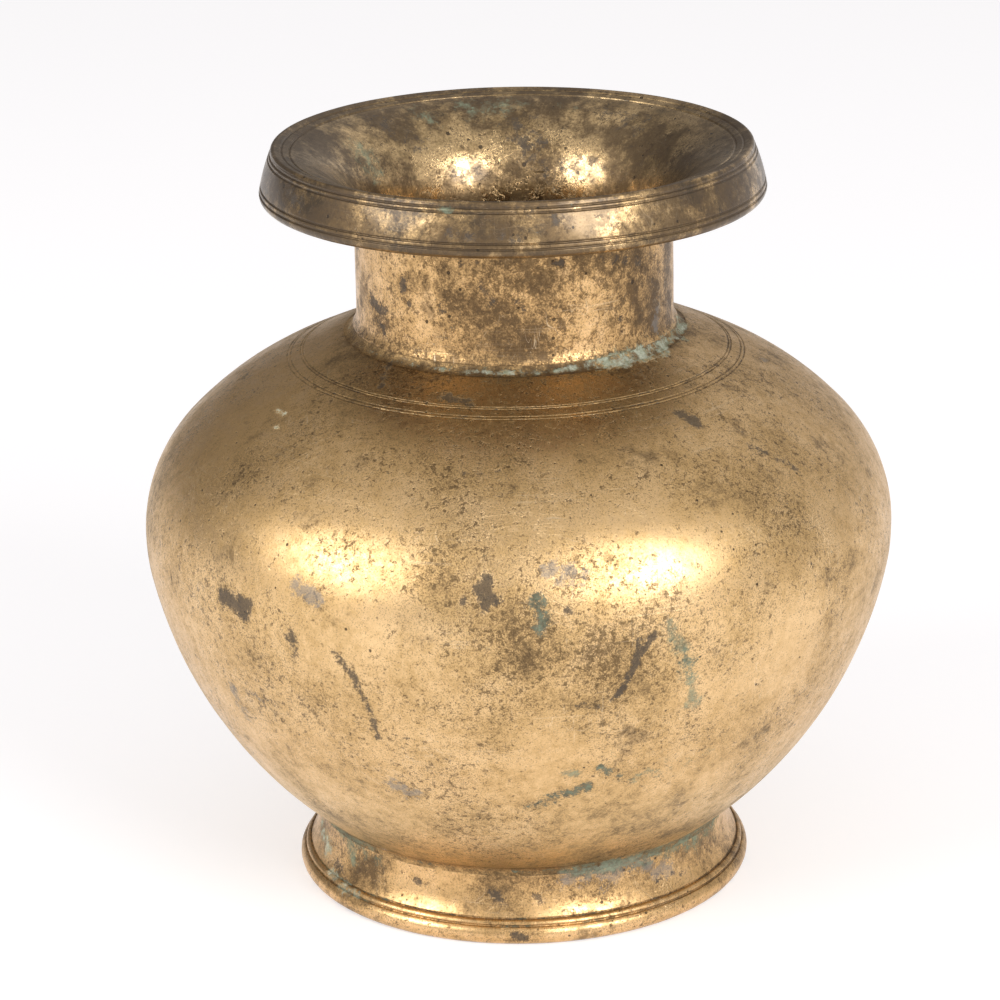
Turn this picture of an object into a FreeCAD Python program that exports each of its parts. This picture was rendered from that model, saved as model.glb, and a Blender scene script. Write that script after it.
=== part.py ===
import FreeCAD, Part
import Sketcher
import math
import os

# Cast and turned brass kalash pot.
#
# Frame: millimetres, +Z up, the pot's axis of revolution is Z, and the origin
# is the centre of the ring of the foot that stands on the table (z = 0).
#
# Every piece is turned on the same axis, so every piece is a closed profile
# in the XZ plane revolved a full turn.  From the table up:
#   foot_ring     flared, moulded foot
#   foot_braze    spelter fillet between foot and bowl
#   lower_bowl    lower half of the body, with the bottom
#   belly_braze   spelter in the half-lap joint at the greatest diameter
#   upper_bowl    shoulder half of the body, with turned lines
#   neck_braze    spelter fillet between shoulder and neck
#   neck_collar   straight neck tube with a small flare at its base
#   rim_braze     spelter fillet under the mouth, outside the neck
#   mouth_rim     flared mouth with its hanging lip, spigoted into the neck

doc = FreeCAD.newDocument("KalashPot")

# ---------------------------------------------------------------------------
# Driving dimensions
# ---------------------------------------------------------------------------
DIMENSIONS = [
    # body
    ("belly_radius", 95.0, "greatest radius of the body"),
    ("wall", 2.8, "wall of both bowl halves"),
    ("seam_top", 93.7, "upper edge of the spelter line at the belly"),
    ("seam_bottom", 93.2, "lower edge of the spelter line at the belly"),
    # shoulder half: three tangent arcs from the belly to the neck seat
    ("haunch_arc", 36.767, "radius of the arc above the belly"),
    ("haunch_end_radius", 84.9913, "where the haunch arc ends, from the axis"),
    ("haunch_end_height", 118.9152, "where the haunch arc ends, height"),
    ("shoulder_arc", 78.963, "radius of the shoulder arc"),
    ("shoulder_end_radius", 60.8142, "where the shoulder arc ends, from the axis"),
    ("shoulder_end_height", 136.3638, "where the shoulder arc ends, height"),
    ("top_arc", 332.2217, "radius of the nearly straight top of the shoulder"),
    ("shoulder_centre_radius", 27.5236, "centre of the shoulder arc"),
    ("shoulder_centre_height", 64.7615, "centre of the shoulder arc"),
    ("top_centre_radius", -79.2496, "centre of the top arc"),
    ("top_centre_height", -164.8892, "centre of the top arc"),
    # lower half: two tangent arcs, a coned seat for the foot, a shallow bottom
    ("bilge_arc", 46.399, "radius of the arc below the belly"),
    ("bilge_end_radius", 94.0494, "where the bilge arc ends, from the axis"),
    ("bilge_end_height", 83.8561, "where the bilge arc ends, height"),
    ("flank_arc", 110.9597, "radius of the flank arc"),
    ("flank_centre_radius", -14.6371, "centre of the flank arc"),
    ("flank_centre_height", 106.2013, "centre of the flank arc"),
    ("seat_outer_radius", 54.8, "outer edge of the coned foot seat"),
    ("seat_outer_height", 19.6533, "outer edge of the coned foot seat"),
    ("seat_inner_radius", 46.8, "inner edge of the coned foot seat"),
    ("seat_inner_height", 14.6, "inner edge of the coned foot seat"),
    ("bottom_arc", 118.0, "radius of the underside inside the foot"),
    # half-lap joint at the belly
    ("lap_length", 6.0, "how far the shoulder half reaches down inside"),
    ("lap_spigot", 1.1, "thickness of the inner lap"),
    ("lap_gap", 0.3, "thickness of the spelter between the laps"),
    # neck seat and neck
    ("neck_seat_radius", 43.2, "outer edge of the flat turned for the neck"),
    ("neck_seat_height", 143.943, "height of that flat"),
    ("neck_hole_radius", 38.3, "hole in the shoulder half"),
    ("hole_lip_radius", 46.0, "outer edge of the thickening round the hole"),
    ("hole_lip_depth", 4.3, "thickness of the shoulder round the hole"),
    ("neck_radius", 39.85, "outside of the neck"),
    ("bore_radius", 36.6, "inside of the neck"),
    ("neck_register", 3.6, "how far the neck's register enters the shoulder"),
    ("neck_foot_radius", 40.8, "flared base of the neck"),
    ("neck_foot_height", 146.3, "top edge of the plain band of that base"),
    ("neck_flare_height", 149.4, "where the flare leaves the straight neck"),
    ("neck_fillet_height", 146.0, "where the neck spelter meets the neck"),
    # joint of neck and mouth
    ("neck_top", 174.6, "top of the neck, underside of the mouth"),
    ("spigot_bottom", 166.6, "lower end of the mouth's spigot"),
    ("spigot_radius", 38.1, "outside of the mouth's spigot"),
    ("rim_fillet_radius", 41.2, "outer edge of the spelter under the mouth"),
    ("rim_fillet_height", 173.1, "lower edge of the spelter under the mouth"),
    # mouth and lip
    ("mouth_arc", 25.2, "radius of the flare inside the mouth"),
    ("mouth_centre_radius", 61.8, "centre of the flare"),
    ("mouth_centre_height", 166.2, "centre of the flare"),
    ("mouth_wall", 3.0, "wall of the flare"),
    ("bevel_inner_radius", 54.43, "inner edge of the bevel on the rim"),
    ("bevel_inner_height", 190.3, "inner edge of the bevel on the rim"),
    ("crest_inner_radius", 58.8, "inner edge of the rounded crest"),
    ("crest_inner_height", 191.75, "inner edge of the rounded crest"),
    ("crest_outer_radius", 59.95, "outer edge of the rounded crest"),
    ("crest_outer_height", 191.05, "outer edge of the rounded crest"),
    ("crest_arc", 0.85, "radius of the crest"),
    ("lip_radius", 63.05, "greatest radius of the lip"),
    ("lip_radius_height", 180.9, "height of the greatest radius"),
    ("lip_face_arc", 55.0, "radius of the slightly convex lip face"),
    ("lip_edge_radius", 62.2, "outer edge of the lip's lower rim"),
    ("lip_edge_height", 178.8, "height of the lip's lower rim"),
    ("lip_edge_arc", 2.0, "rounding of the lip's lower rim"),
    ("lip_inner_radius", 60.0, "inner edge of the lip's lower rim"),
    ("lip_back_radius", 58.9, "back of the lip under the crest"),
    ("lip_back_height", 185.6, "back of the lip under the crest"),
    ("lip_back_arc", 2.4, "hollow between flare and lip"),
    ("flare_back_radius", 56.2, "end of the flare's outside"),
    # foot
    ("foot_wall_radius", 53.3, "outside of the foot below the bowl"),
    ("foot_inner_radius", 49.6, "inside of the foot below the bowl"),
    ("foot_flare_height", 15.6, "where the foot starts to flare"),
    ("foot_flare_arc", 17.58, "radius of the hollow flare"),
    ("foot_bead_radius", 55.9, "top edge of the small bead"),
    ("foot_bead_height", 6.4, "top edge of the small bead"),
    ("foot_bead_arc", 1.3, "radius of the small bead"),
    ("foot_torus_radius", 57.25, "top edge of the half-round moulding"),
    ("foot_torus_height", 5.0, "top edge of the half-round moulding"),
    ("foot_torus_arc", 2.8, "radius of the half-round moulding"),
    ("foot_rest_outer", 56.9, "outer edge of the standing ring"),
    ("foot_rest_inner", 53.8, "inner edge of the standing ring"),
    ("foot_relief_radius", 53.0, "top of the small chamfer inside"),
    ("foot_relief_height", 1.3, "top of the small chamfer inside"),
    ("foot_inner_arc", 30.0, "radius of the hollow inside of the foot"),
    ("foot_fillet_outer", 54.6, "outer edge of the spelter on the bowl"),
    ("foot_fillet_height", 16.9, "lower edge of the spelter on the foot"),
    ("braze_arc", 3.2, "hollow of the neck fillet"),
    ("rim_braze_arc", 1.9, "hollow of the fillet under the mouth"),
    # turned lines: section radius of the tool and where each line runs
    ("line_tool", 0.3, "section radius of the turned lines"),
    ("lip_line_tool", 0.36, "section radius of the lines on the lip"),
    ("inner_line_one", 53.5, "inner pair on the shoulder"),
    ("inner_line_two", 54.15, "inner pair on the shoulder"),
    ("outer_line_one", 56.65, "outer pair on the shoulder"),
    ("outer_line_two", 57.55, "outer pair on the shoulder"),
    ("lip_line_one", 190.35, "height of the first line on the lip"),
    ("lip_line_two", 189.3, "height of the second line on the lip"),
    ("lip_line_three", 182.35, "height of the third line on the lip"),
    ("lip_line_four", 181.05, "height of the fourth line on the lip"),
    ("bevel_line_one", 57.2, "outer line on the bevel"),
    ("bevel_line_two", 55.2, "inner line on the bevel"),
    ("foot_line_tool", 0.4, "section radius of the lines on the foot"),
]

sheet = doc.addObject("Spreadsheet::Sheet", "Dimensions")
sheet.Label = "Dimensions"
VALUE = {}
for row, (alias, value, note) in enumerate(DIMENSIONS, start=1):
    sheet.set("A%d" % row, alias)
    sheet.set("B%d" % row, repr(value))
    sheet.set("C%d" % row, note)
    sheet.setAlias("B%d" % row, alias)
    VALUE[alias] = value
doc.recompute()


class Size:
    """A number together with the expression over the sheet that gives it."""

    def __init__(self, value, text):
        self.value = float(value)
        self.text = text

    @staticmethod
    def of(other):
        if isinstance(other, Size):
            return other
        return Size(other, repr(float(other)))

    def __add__(self, other):
        other = Size.of(other)
        return Size(self.value + other.value, "(%s + %s)" % (self.text, other.text))

    def __sub__(self, other):
        other = Size.of(other)
        return Size(self.value - other.value, "(%s - %s)" % (self.text, other.text))

    def __mul__(self, other):
        other = Size.of(other)
        return Size(self.value * other.value, "(%s * %s)" % (self.text, other.text))

    def __truediv__(self, other):
        other = Size.of(other)
        return Size(self.value / other.value, "(%s / %s)" % (self.text, other.text))

    def root(self):
        return Size(math.sqrt(self.value), "sqrt(%s)" % self.text)


def cell(alias):
    return Size(VALUE[alias], "Dimensions." + alias)


class Arc:
    """An edge that is an arc: its radius, and which way it travels."""

    def __init__(self, radius, turn):
        self.radius = radius
        self.turn = turn        # +1 anticlockwise, -1 clockwise, seen in the sketch


LINE = None


def arc_centre(p, q, radius, turn):
    """Centre of the arc under half a turn that goes from p to q."""
    mx, my = (p[0] + q[0]) / 2.0, (p[1] + q[1]) / 2.0
    dx, dy = q[0] - p[0], q[1] - p[1]
    chord = math.hypot(dx, dy)
    rise = math.sqrt(max(radius * radius - chord * chord / 4.0, 0.0))
    return (mx - turn * dy / chord * rise, my + turn * dx / chord * rise)


def origin_plane(body, role):
    for feature in body.Origin.OriginFeatures:
        if feature.Role == role:
            return feature
    raise RuntimeError("no plane " + role)


def new_body(label):
    body = doc.addObject("PartDesign::Body", label)
    body.Label = label
    body.Placement = FreeCAD.Placement(FreeCAD.Vector(0, 0, 0), FreeCAD.Rotation())
    return body


def new_sketch(body, name):
    sketch = body.newObject("Sketcher::SketchObject", name)
    sketch.AttachmentSupport = [(origin_plane(body, "XZ_Plane"), "")]
    sketch.MapMode = "FlatFace"
    return sketch


def bind(sketch, index, size):
    sketch.setExpression("Constraints[%d]" % index, size.text)


def draw_profile(sketch, corners):
    """corners: list of (r, z, edge to the next corner).  The loop closes."""
    count = len(corners)
    points = [(c[0].value, c[1].value) for c in corners]
    starts, ends = [], []
    for i, (_, _, edge) in enumerate(corners):
        p, q = points[i], points[(i + 1) % count]
        if edge is LINE:
            g = sketch.addGeometry(Part.LineSegment(FreeCAD.Vector(p[0], p[1], 0),
                                                    FreeCAD.Vector(q[0], q[1], 0)), False)
            starts.append((g, 1))
            ends.append((g, 2))
            continue
        c = arc_centre(p, q, edge.radius.value, edge.turn)
        a = math.atan2(p[1] - c[1], p[0] - c[0])
        b = math.atan2(q[1] - c[1], q[0] - c[0])
        first, last = (a, b) if edge.turn > 0 else (b, a)
        if last < first:
            last += 2.0 * math.pi
        circle = Part.Circle(FreeCAD.Vector(c[0], c[1], 0), FreeCAD.Vector(0, 0, 1),
                             edge.radius.value)
        g = sketch.addGeometry(Part.ArcOfCircle(circle, first, last), False)
        starts.append((g, 1 if edge.turn > 0 else 2))
        ends.append((g, 2 if edge.turn > 0 else 1))
    for i in range(count):
        g0, v0 = ends[i - 1]
        g1, v1 = starts[i]
        sketch.addConstraint(Sketcher.Constraint("Coincident", g0, v0, g1, v1))
    for i, (r, z, edge) in enumerate(corners):
        g, v = starts[i]
        if abs(r.value) < 1e-9:
            sketch.addConstraint(Sketcher.Constraint("PointOnObject", g, v, -2))
        else:
            bind(sketch, sketch.addConstraint(
                Sketcher.Constraint("DistanceX", -1, 1, g, v, r.value)), r)
        if abs(z.value) < 1e-9:
            sketch.addConstraint(Sketcher.Constraint("PointOnObject", g, v, -1))
        else:
            bind(sketch, sketch.addConstraint(
                Sketcher.Constraint("DistanceY", -1, 1, g, v, z.value)), z)
        if edge is not LINE:
            bind(sketch, sketch.addConstraint(
                Sketcher.Constraint("Radius", g, edge.radius.value)), edge.radius)


def revolve(label, corners):
    body = new_body(label)
    sketch = new_sketch(body, label + "_profile")
    draw_profile(sketch, corners)
    doc.recompute()
    turned = body.newObject("PartDesign::Revolution", label + "_turned")
    turned.Profile = (sketch, [""])
    turned.ReferenceAxis = (sketch, ["V_Axis"])
    turned.Angle = 360.0
    sketch.Visibility = False
    body.Tip = turned
    doc.recompute()
    return body


def turned_lines(body, name, lines):
    """Round-bottomed turned lines: each is (r, z, section radius)."""
    before = body.Shape.Volume
    sketch = new_sketch(body, name + "_section")
    for r, z, tool in lines:
        g = sketch.addGeometry(Part.Circle(FreeCAD.Vector(r.value, z.value, 0),
                                           FreeCAD.Vector(0, 0, 1), tool.value), False)
        bind(sketch, sketch.addConstraint(
            Sketcher.Constraint("DistanceX", -1, 1, g, 3, r.value)), r)
        bind(sketch, sketch.addConstraint(
            Sketcher.Constraint("DistanceY", -1, 1, g, 3, z.value)), z)
        bind(sketch, sketch.addConstraint(
            Sketcher.Constraint("Radius", g, tool.value)), tool)
    doc.recompute()
    groove = body.newObject("PartDesign::Groove", name)
    groove.Profile = (sketch, [""])
    groove.ReferenceAxis = (sketch, ["V_Axis"])
    groove.Angle = 360.0
    sketch.Visibility = False
    body.Tip = groove
    doc.recompute()
    after = body.Shape.Volume
    if not after < before - 1.0:
        raise RuntimeError(name + " cut nothing")


def towards(centre, end, arc, less):
    """The point on the concentric arc whose radius is smaller by `less`."""
    return centre + (end - centre) * ((arc - less) / arc)


# ---------------------------------------------------------------------------
# Shared sizes
# ---------------------------------------------------------------------------
ZERO = Size(0.0, "0")
R, W = cell("belly_radius"), cell("wall")
seam_top, seam_bottom = cell("seam_top"), cell("seam_bottom")
haunch, shoulder, top = cell("haunch_arc"), cell("shoulder_arc"), cell("top_arc")
bilge, flank = cell("bilge_arc"), cell("flank_arc")
haunch_centre_r = R - haunch
bilge_centre_r = R - bilge

# laps of the belly joint
lap_in = R - W                                  # inside of the inner lap
lap_mid = lap_in + cell("lap_spigot")           # outside of the inner lap
lap_out = lap_mid + cell("lap_gap")             # inside of the outer lap
lap_bottom = seam_bottom - cell("lap_length") + cell("lap_gap")
ledge = lap_bottom - cell("lap_gap")

seat_slope = ((cell("seat_outer_height") - cell("seat_inner_height"))
              / (cell("seat_outer_radius") - cell("seat_inner_radius")))


def seat_height(r):
    """Height of the coned foot seat at radius r."""
    return cell("seat_inner_height") + (r - cell("seat_inner_radius")) * seat_slope


def top_arc_height(r):
    """Height of the outer face of the top of the shoulder at radius r."""
    reach = r - cell("top_centre_radius")
    return cell("top_centre_height") + (top * top - reach * reach).root()


# ---------------------------------------------------------------------------
# foot_ring
# ---------------------------------------------------------------------------
foot_ring = revolve("foot_ring", [
    (cell("foot_wall_radius"), seat_height(cell("foot_wall_radius")), LINE),
    (cell("foot_inner_radius"), seat_height(cell("foot_inner_radius")),
     Arc(cell("foot_inner_arc"), +1)),
    (cell("foot_relief_radius"), cell("foot_relief_height"), LINE),
    (cell("foot_rest_inner"), ZERO, LINE),
    (cell("foot_rest_outer"), ZERO, Arc(cell("foot_torus_arc"), +1)),
    (cell("foot_torus_radius"), cell("foot_torus_height"), Arc(cell("foot_bead_arc"), +1)),
    (cell("foot_bead_radius"), cell("foot_bead_height"), Arc(cell("foot_flare_arc"), -1)),
    (cell("foot_wall_radius"), cell("foot_flare_height"), LINE),
])
turned_lines(foot_ring, "foot_lines", [
    (cell("foot_bead_radius"), cell("foot_bead_height"), cell("foot_line_tool")),
    (cell("foot_torus_radius"), cell("foot_torus_height"), cell("foot_line_tool")),
])

# ---------------------------------------------------------------------------
# foot_braze: fillet in the corner of foot and bowl, scraped flat
# ---------------------------------------------------------------------------
foot_braze = revolve("foot_braze", [
    (cell("foot_wall_radius"), seat_height(cell("foot_wall_radius")), LINE),
    (cell("foot_wall_radius"), cell("foot_fillet_height"), LINE),
    (cell("foot_fillet_outer"), seat_height(cell("foot_fillet_outer")), LINE),
])

# ---------------------------------------------------------------------------
# lower_bowl
# ---------------------------------------------------------------------------
ledge_reach = seam_bottom - ledge
bilge_in = bilge - W
ledge_inner_r = bilge_centre_r + (bilge_in * bilge_in - ledge_reach * ledge_reach).root()
ledge_inner = (ledge_inner_r, ledge)
bottom_rise = cell("bottom_arc") - (cell("bottom_arc") * cell("bottom_arc")
                                    - cell("seat_inner_radius") * cell("seat_inner_radius")).root()
bottom_height = cell("seat_inner_height") - bottom_rise

lower_bowl = revolve("lower_bowl", [
    (R, seam_bottom, LINE),
    (lap_out, seam_bottom, LINE),
    (lap_out, ledge, LINE),
    (ledge_inner[0], ledge_inner[1], Arc(bilge_in, -1)),
    (towards(bilge_centre_r, cell("bilge_end_radius"), bilge, W),
     towards(seam_bottom, cell("bilge_end_height"), bilge, W), Arc(flank - W, -1)),
    (towards(cell("flank_centre_radius"), cell("seat_outer_radius"), flank, W),
     towards(cell("flank_centre_height"), cell("seat_outer_height"), flank, W), LINE),
    (cell("seat_inner_radius") - W * 0.45,
     cell("seat_inner_height") + W, Arc(cell("bottom_arc") - W, -1)),
    (ZERO, bottom_height + W, LINE),
    (ZERO, bottom_height, Arc(cell("bottom_arc"), +1)),
    (cell("seat_inner_radius"), cell("seat_inner_height"), LINE),
    (cell("seat_outer_radius"), cell("seat_outer_height"), Arc(flank, +1)),
    (cell("bilge_end_radius"), cell("bilge_end_height"), Arc(bilge, +1)),
])

# ---------------------------------------------------------------------------
# belly_braze: the Z-shaped layer of spelter between the two halves
# ---------------------------------------------------------------------------
belly_braze = revolve("belly_braze", [
    (R, seam_bottom, LINE),
    (R, seam_top, LINE),
    (lap_mid, seam_top, LINE),
    (lap_mid, lap_bottom, LINE),
    (lap_in, lap_bottom, LINE),
    (lap_in, ledge, LINE),
    (lap_out, ledge, LINE),
    (lap_out, seam_bottom, LINE),
])

# ---------------------------------------------------------------------------
# upper_bowl
# ---------------------------------------------------------------------------
hole_lip_height = cell("neck_seat_height") - cell("hole_lip_depth")
top_in = top - W
lip_reach = cell("hole_lip_radius") - cell("top_centre_radius")
hole_lip_join = cell("top_centre_height") + (top_in * top_in - lip_reach * lip_reach).root()

upper_bowl = revolve("upper_bowl", [
    (R, seam_top, Arc(haunch, +1)),
    (cell("haunch_end_radius"), cell("haunch_end_height"), Arc(shoulder, +1)),
    (cell("shoulder_end_radius"), cell("shoulder_end_height"), Arc(top, +1)),
    (cell("neck_seat_radius"), cell("neck_seat_height"), LINE),
    (cell("neck_hole_radius"), cell("neck_seat_height"), LINE),
    (cell("neck_hole_radius"), hole_lip_height, LINE),
    (cell("hole_lip_radius") - 1.0, hole_lip_height, LINE),
    (cell("hole_lip_radius"), hole_lip_join, Arc(top_in, -1)),
    (towards(cell("shoulder_centre_radius"), cell("shoulder_end_radius"), shoulder, W),
     towards(cell("shoulder_centre_height"), cell("shoulder_end_height"), shoulder, W),
     Arc(shoulder - W, -1)),
    (towards(haunch_centre_r, cell("haunch_end_radius"), haunch, W),
     towards(seam_top, cell("haunch_end_height"), haunch, W), Arc(haunch - W, -1)),
    (lap_in, seam_top, LINE),
    (lap_in, lap_bottom, LINE),
    (lap_mid, lap_bottom, LINE),
    (lap_mid, seam_top, LINE),
])
turned_lines(upper_bowl, "shoulder_lines", [
    (cell(name), top_arc_height(cell(name)), cell("line_tool"))
    for name in ("inner_line_one", "inner_line_two", "outer_line_one", "outer_line_two")
])

# ---------------------------------------------------------------------------
# neck_braze: hollow fillet on the shoulder round the base of the neck
# ---------------------------------------------------------------------------
neck_braze = revolve("neck_braze", [
    (cell("neck_foot_radius"), cell("neck_seat_height"), LINE),
    (cell("neck_seat_radius"), cell("neck_seat_height"), Arc(cell("braze_arc"), -1)),
    (cell("neck_foot_radius"), cell("neck_fillet_height"), LINE),
])

# ---------------------------------------------------------------------------
# neck_collar
# ---------------------------------------------------------------------------
flare_drop = cell("neck_flare_height") - cell("neck_foot_height")
flare_out = cell("neck_foot_radius") - cell("neck_radius")
flare_arc = (flare_drop * flare_drop + flare_out * flare_out) / (flare_out * 2.0)

neck_collar = revolve("neck_collar", [
    (cell("neck_radius"), cell("neck_top"), LINE),
    (cell("spigot_radius"), cell("neck_top"), LINE),
    (cell("spigot_radius"), cell("spigot_bottom"), LINE),
    (cell("bore_radius"), cell("spigot_bottom"), LINE),
    (cell("bore_radius"), cell("neck_seat_height") - cell("neck_register"), LINE),
    (cell("neck_hole_radius"), cell("neck_seat_height") - cell("neck_register"), LINE),
    (cell("neck_hole_radius"), cell("neck_seat_height"), LINE),
    (cell("neck_foot_radius"), cell("neck_seat_height"), LINE),
    (cell("neck_foot_radius"), cell("neck_foot_height"), Arc(flare_arc, -1)),
    (cell("neck_radius"), cell("neck_flare_height"), LINE),
])

# ---------------------------------------------------------------------------
# rim_braze: hollow fillet under the mouth, outside the neck
# ---------------------------------------------------------------------------
rim_braze = revolve("rim_braze", [
    (cell("neck_radius"), cell("neck_top"), LINE),
    (cell("neck_radius"), cell("rim_fillet_height"), Arc(cell("rim_braze_arc"), -1)),
    (cell("rim_fillet_radius"), cell("neck_top"), LINE),
])

# ---------------------------------------------------------------------------
# mouth_rim
# ---------------------------------------------------------------------------
flare_out_arc = cell("mouth_arc") - cell("mouth_wall")


def flare_radius(height):
    """Outside of the flare at a height, below its centre line's crown."""
    reach = height - cell("mouth_centre_height")
    return cell("mouth_centre_radius") - (flare_out_arc * flare_out_arc - reach * reach).root()


back_reach = cell("mouth_centre_radius") - cell("flare_back_radius")
flare_back_height = (cell("mouth_centre_height")
                     + (flare_out_arc * flare_out_arc - back_reach * back_reach).root())

mouth_rim = revolve("mouth_rim", [
    (cell("bore_radius"), cell("spigot_bottom"), LINE),
    (cell("spigot_radius"), cell("spigot_bottom"), LINE),
    (cell("spigot_radius"), cell("neck_top"), LINE),
    (flare_radius(cell("neck_top")), cell("neck_top"), Arc(flare_out_arc, -1)),
    (cell("flare_back_radius"), flare_back_height, Arc(cell("lip_back_arc"), -1)),
    (cell("lip_back_radius"), cell("lip_back_height"), LINE),
    (cell("lip_inner_radius"), cell("lip_edge_height"), LINE),
    (cell("lip_edge_radius"), cell("lip_edge_height"), Arc(cell("lip_edge_arc"), +1)),
    (cell("lip_radius"), cell("lip_radius_height"), Arc(cell("lip_face_arc"), +1)),
    (cell("crest_outer_radius"), cell("crest_outer_height"), Arc(cell("crest_arc"), +1)),
    (cell("crest_inner_radius"), cell("crest_inner_height"), LINE),
    (cell("bevel_inner_radius"), cell("bevel_inner_height"), Arc(cell("mouth_arc"), +1)),
])


def bevel_height(r):
    slope = ((cell("crest_inner_height") - cell("bevel_inner_height"))
             / (cell("crest_inner_radius") - cell("bevel_inner_radius")))
    return cell("bevel_inner_height") + (r - cell("bevel_inner_radius")) * slope


face = arc_centre((VALUE["lip_radius"], VALUE["lip_radius_height"]),
                  (VALUE["crest_outer_radius"], VALUE["crest_outer_height"]),
                  VALUE["lip_face_arc"], +1)


def face_radius(height):
    """The lip face, as a straight taper with the crown of its arc added."""
    run = ((height - cell("lip_radius_height"))
           / (cell("crest_outer_height") - cell("lip_radius_height")))
    chord = (cell("lip_radius")
             + (cell("crest_outer_radius") - cell("lip_radius")) * run)
    exact = face[0] + math.sqrt(VALUE["lip_face_arc"] ** 2 - (height.value - face[1]) ** 2)
    return chord + round(exact - chord.value, 3)


turned_lines(mouth_rim, "mouth_lines", [
    (face_radius(cell(name)), cell(name), cell("lip_line_tool"))
    for name in ("lip_line_one", "lip_line_two", "lip_line_three", "lip_line_four")
] + [
    (cell(name), bevel_height(cell(name)), cell("lip_line_tool"))
    for name in ("bevel_line_one", "bevel_line_two")
])

# ---------------------------------------------------------------------------
# Test everything, then write one STEP file for each piece
# ---------------------------------------------------------------------------
doc.recompute()
for obj in doc.Objects:
    if "Invalid" in obj.State or "Error" in obj.State:
        raise RuntimeError("%s failed: %s" % (obj.Name, obj.State))
    if obj.TypeId == "Sketcher::SketchObject" and obj.solve() != 0:
        raise RuntimeError("%s does not solve" % obj.Name)

pieces = [foot_ring, foot_braze, lower_bowl, belly_braze, upper_bowl,
          neck_braze, neck_collar, rim_braze, mouth_rim]
for body in pieces:
    shape = body.Shape
    if shape.isNull() or not shape.isValid() or len(shape.Solids) != 1:
        raise RuntimeError("%s has no valid solid" % body.Label)

os.makedirs("parts", exist_ok=True)
for body in pieces:
    body.Shape.exportStep("parts/%s.step" % body.Label)
    box = body.Shape.BoundBox
    print("%-12s volume %9.1f mm3  r %.2f  z %.3f to %.3f"
          % (body.Label, body.Shape.Volume, box.XMax, box.ZMin, box.ZMax))
print("pieces:", len(pieces))
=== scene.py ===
import math

import bpy
import numpy as np
from mathutils import Matrix, Vector


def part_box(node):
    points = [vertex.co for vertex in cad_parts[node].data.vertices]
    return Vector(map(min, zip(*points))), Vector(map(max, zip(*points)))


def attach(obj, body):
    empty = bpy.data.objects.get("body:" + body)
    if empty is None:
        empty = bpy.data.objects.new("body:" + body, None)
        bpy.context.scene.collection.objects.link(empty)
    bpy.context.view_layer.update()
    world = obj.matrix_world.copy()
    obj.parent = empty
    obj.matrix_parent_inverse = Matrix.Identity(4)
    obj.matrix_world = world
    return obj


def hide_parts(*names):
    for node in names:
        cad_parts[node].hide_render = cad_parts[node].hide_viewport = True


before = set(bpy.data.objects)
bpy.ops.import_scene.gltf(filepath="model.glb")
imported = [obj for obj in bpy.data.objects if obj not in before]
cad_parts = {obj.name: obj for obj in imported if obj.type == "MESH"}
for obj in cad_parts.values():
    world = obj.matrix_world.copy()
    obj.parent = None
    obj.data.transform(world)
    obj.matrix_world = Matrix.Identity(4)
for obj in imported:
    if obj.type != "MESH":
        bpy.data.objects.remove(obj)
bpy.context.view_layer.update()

MM = 0.001


# ---------------------------------------------------------------------------
# Seeded gradient noise over numpy arrays
# ---------------------------------------------------------------------------
_rng = np.random.RandomState(4127)
_perm = np.concatenate([_rng.permutation(256)] * 2)
_grad = _rng.normal(size=(256, 3))
_grad /= np.linalg.norm(_grad, axis=1)[:, None]


def noise(p):
    """Gradient noise, about -0.7 to 0.7, at points p (n, 3)."""
    i = np.floor(p).astype(int)
    f = p - i
    u = f * f * f * (f * (f * 6 - 15) + 10)
    i &= 255
    out = np.zeros(len(p))
    for dx in (0, 1):
        wx = u[:, 0] if dx else 1 - u[:, 0]
        for dy in (0, 1):
            wy = u[:, 1] if dy else 1 - u[:, 1]
            for dz in (0, 1):
                wz = u[:, 2] if dz else 1 - u[:, 2]
                k = _perm[(_perm[(_perm[(i[:, 0] + dx) & 255] + i[:, 1] + dy) & 255]
                           + i[:, 2] + dz) & 255]
                g = _grad[k]
                d = f - np.array([dx, dy, dz], float)
                out += wx * wy * wz * (g * d).sum(1)
    return out


def fbm(p, scale, octaves=3, shift=0.0):
    total, amp = np.zeros(len(p)), 1.0
    q = p * scale + shift
    for _ in range(octaves):
        total += amp * noise(q)
        q = q * 2.03 + 17.3
        amp *= 0.5
    return total


def smooth(x, lo, hi):
    t = np.clip((x - lo) / (hi - lo), 0, 1)
    return t * t * (3 - 2 * t)


# ---------------------------------------------------------------------------
# Profiles: closed loops in (r, z), millimetres, with arcs
# ---------------------------------------------------------------------------
def arc_centre(p, q, radius, turn):
    mx, my = (p[0] + q[0]) / 2, (p[1] + q[1]) / 2
    dx, dy = q[0] - p[0], q[1] - p[1]
    chord = math.hypot(dx, dy)
    rise = math.sqrt(max(radius * radius - chord * chord / 4, 0))
    return mx - turn * dy / chord * rise, my + turn * dx / chord * rise


def edge_points(p, q, edge, step):
    """Points from p up to, not including, q."""
    if edge is None:
        length = math.hypot(q[0] - p[0], q[1] - p[1])
        n = max(1, int(math.ceil(length / step)))
        return [(p[0] + (q[0] - p[0]) * k / n, p[1] + (q[1] - p[1]) * k / n) for k in range(n)]
    radius, turn = edge
    c = arc_centre(p, q, radius, turn)
    a = math.atan2(p[1] - c[1], p[0] - c[0])
    b = math.atan2(q[1] - c[1], q[0] - c[0])
    if turn > 0 and b < a:
        b += 2 * math.pi
    if turn < 0 and b > a:
        b -= 2 * math.pi
    n = max(2, int(math.ceil(abs(b - a) * radius / step)), int(abs(b - a) / 0.14))
    return [(c[0] + radius * math.cos(a + (b - a) * k / n),
             c[1] + radius * math.sin(a + (b - a) * k / n)) for k in range(n)]


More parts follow.
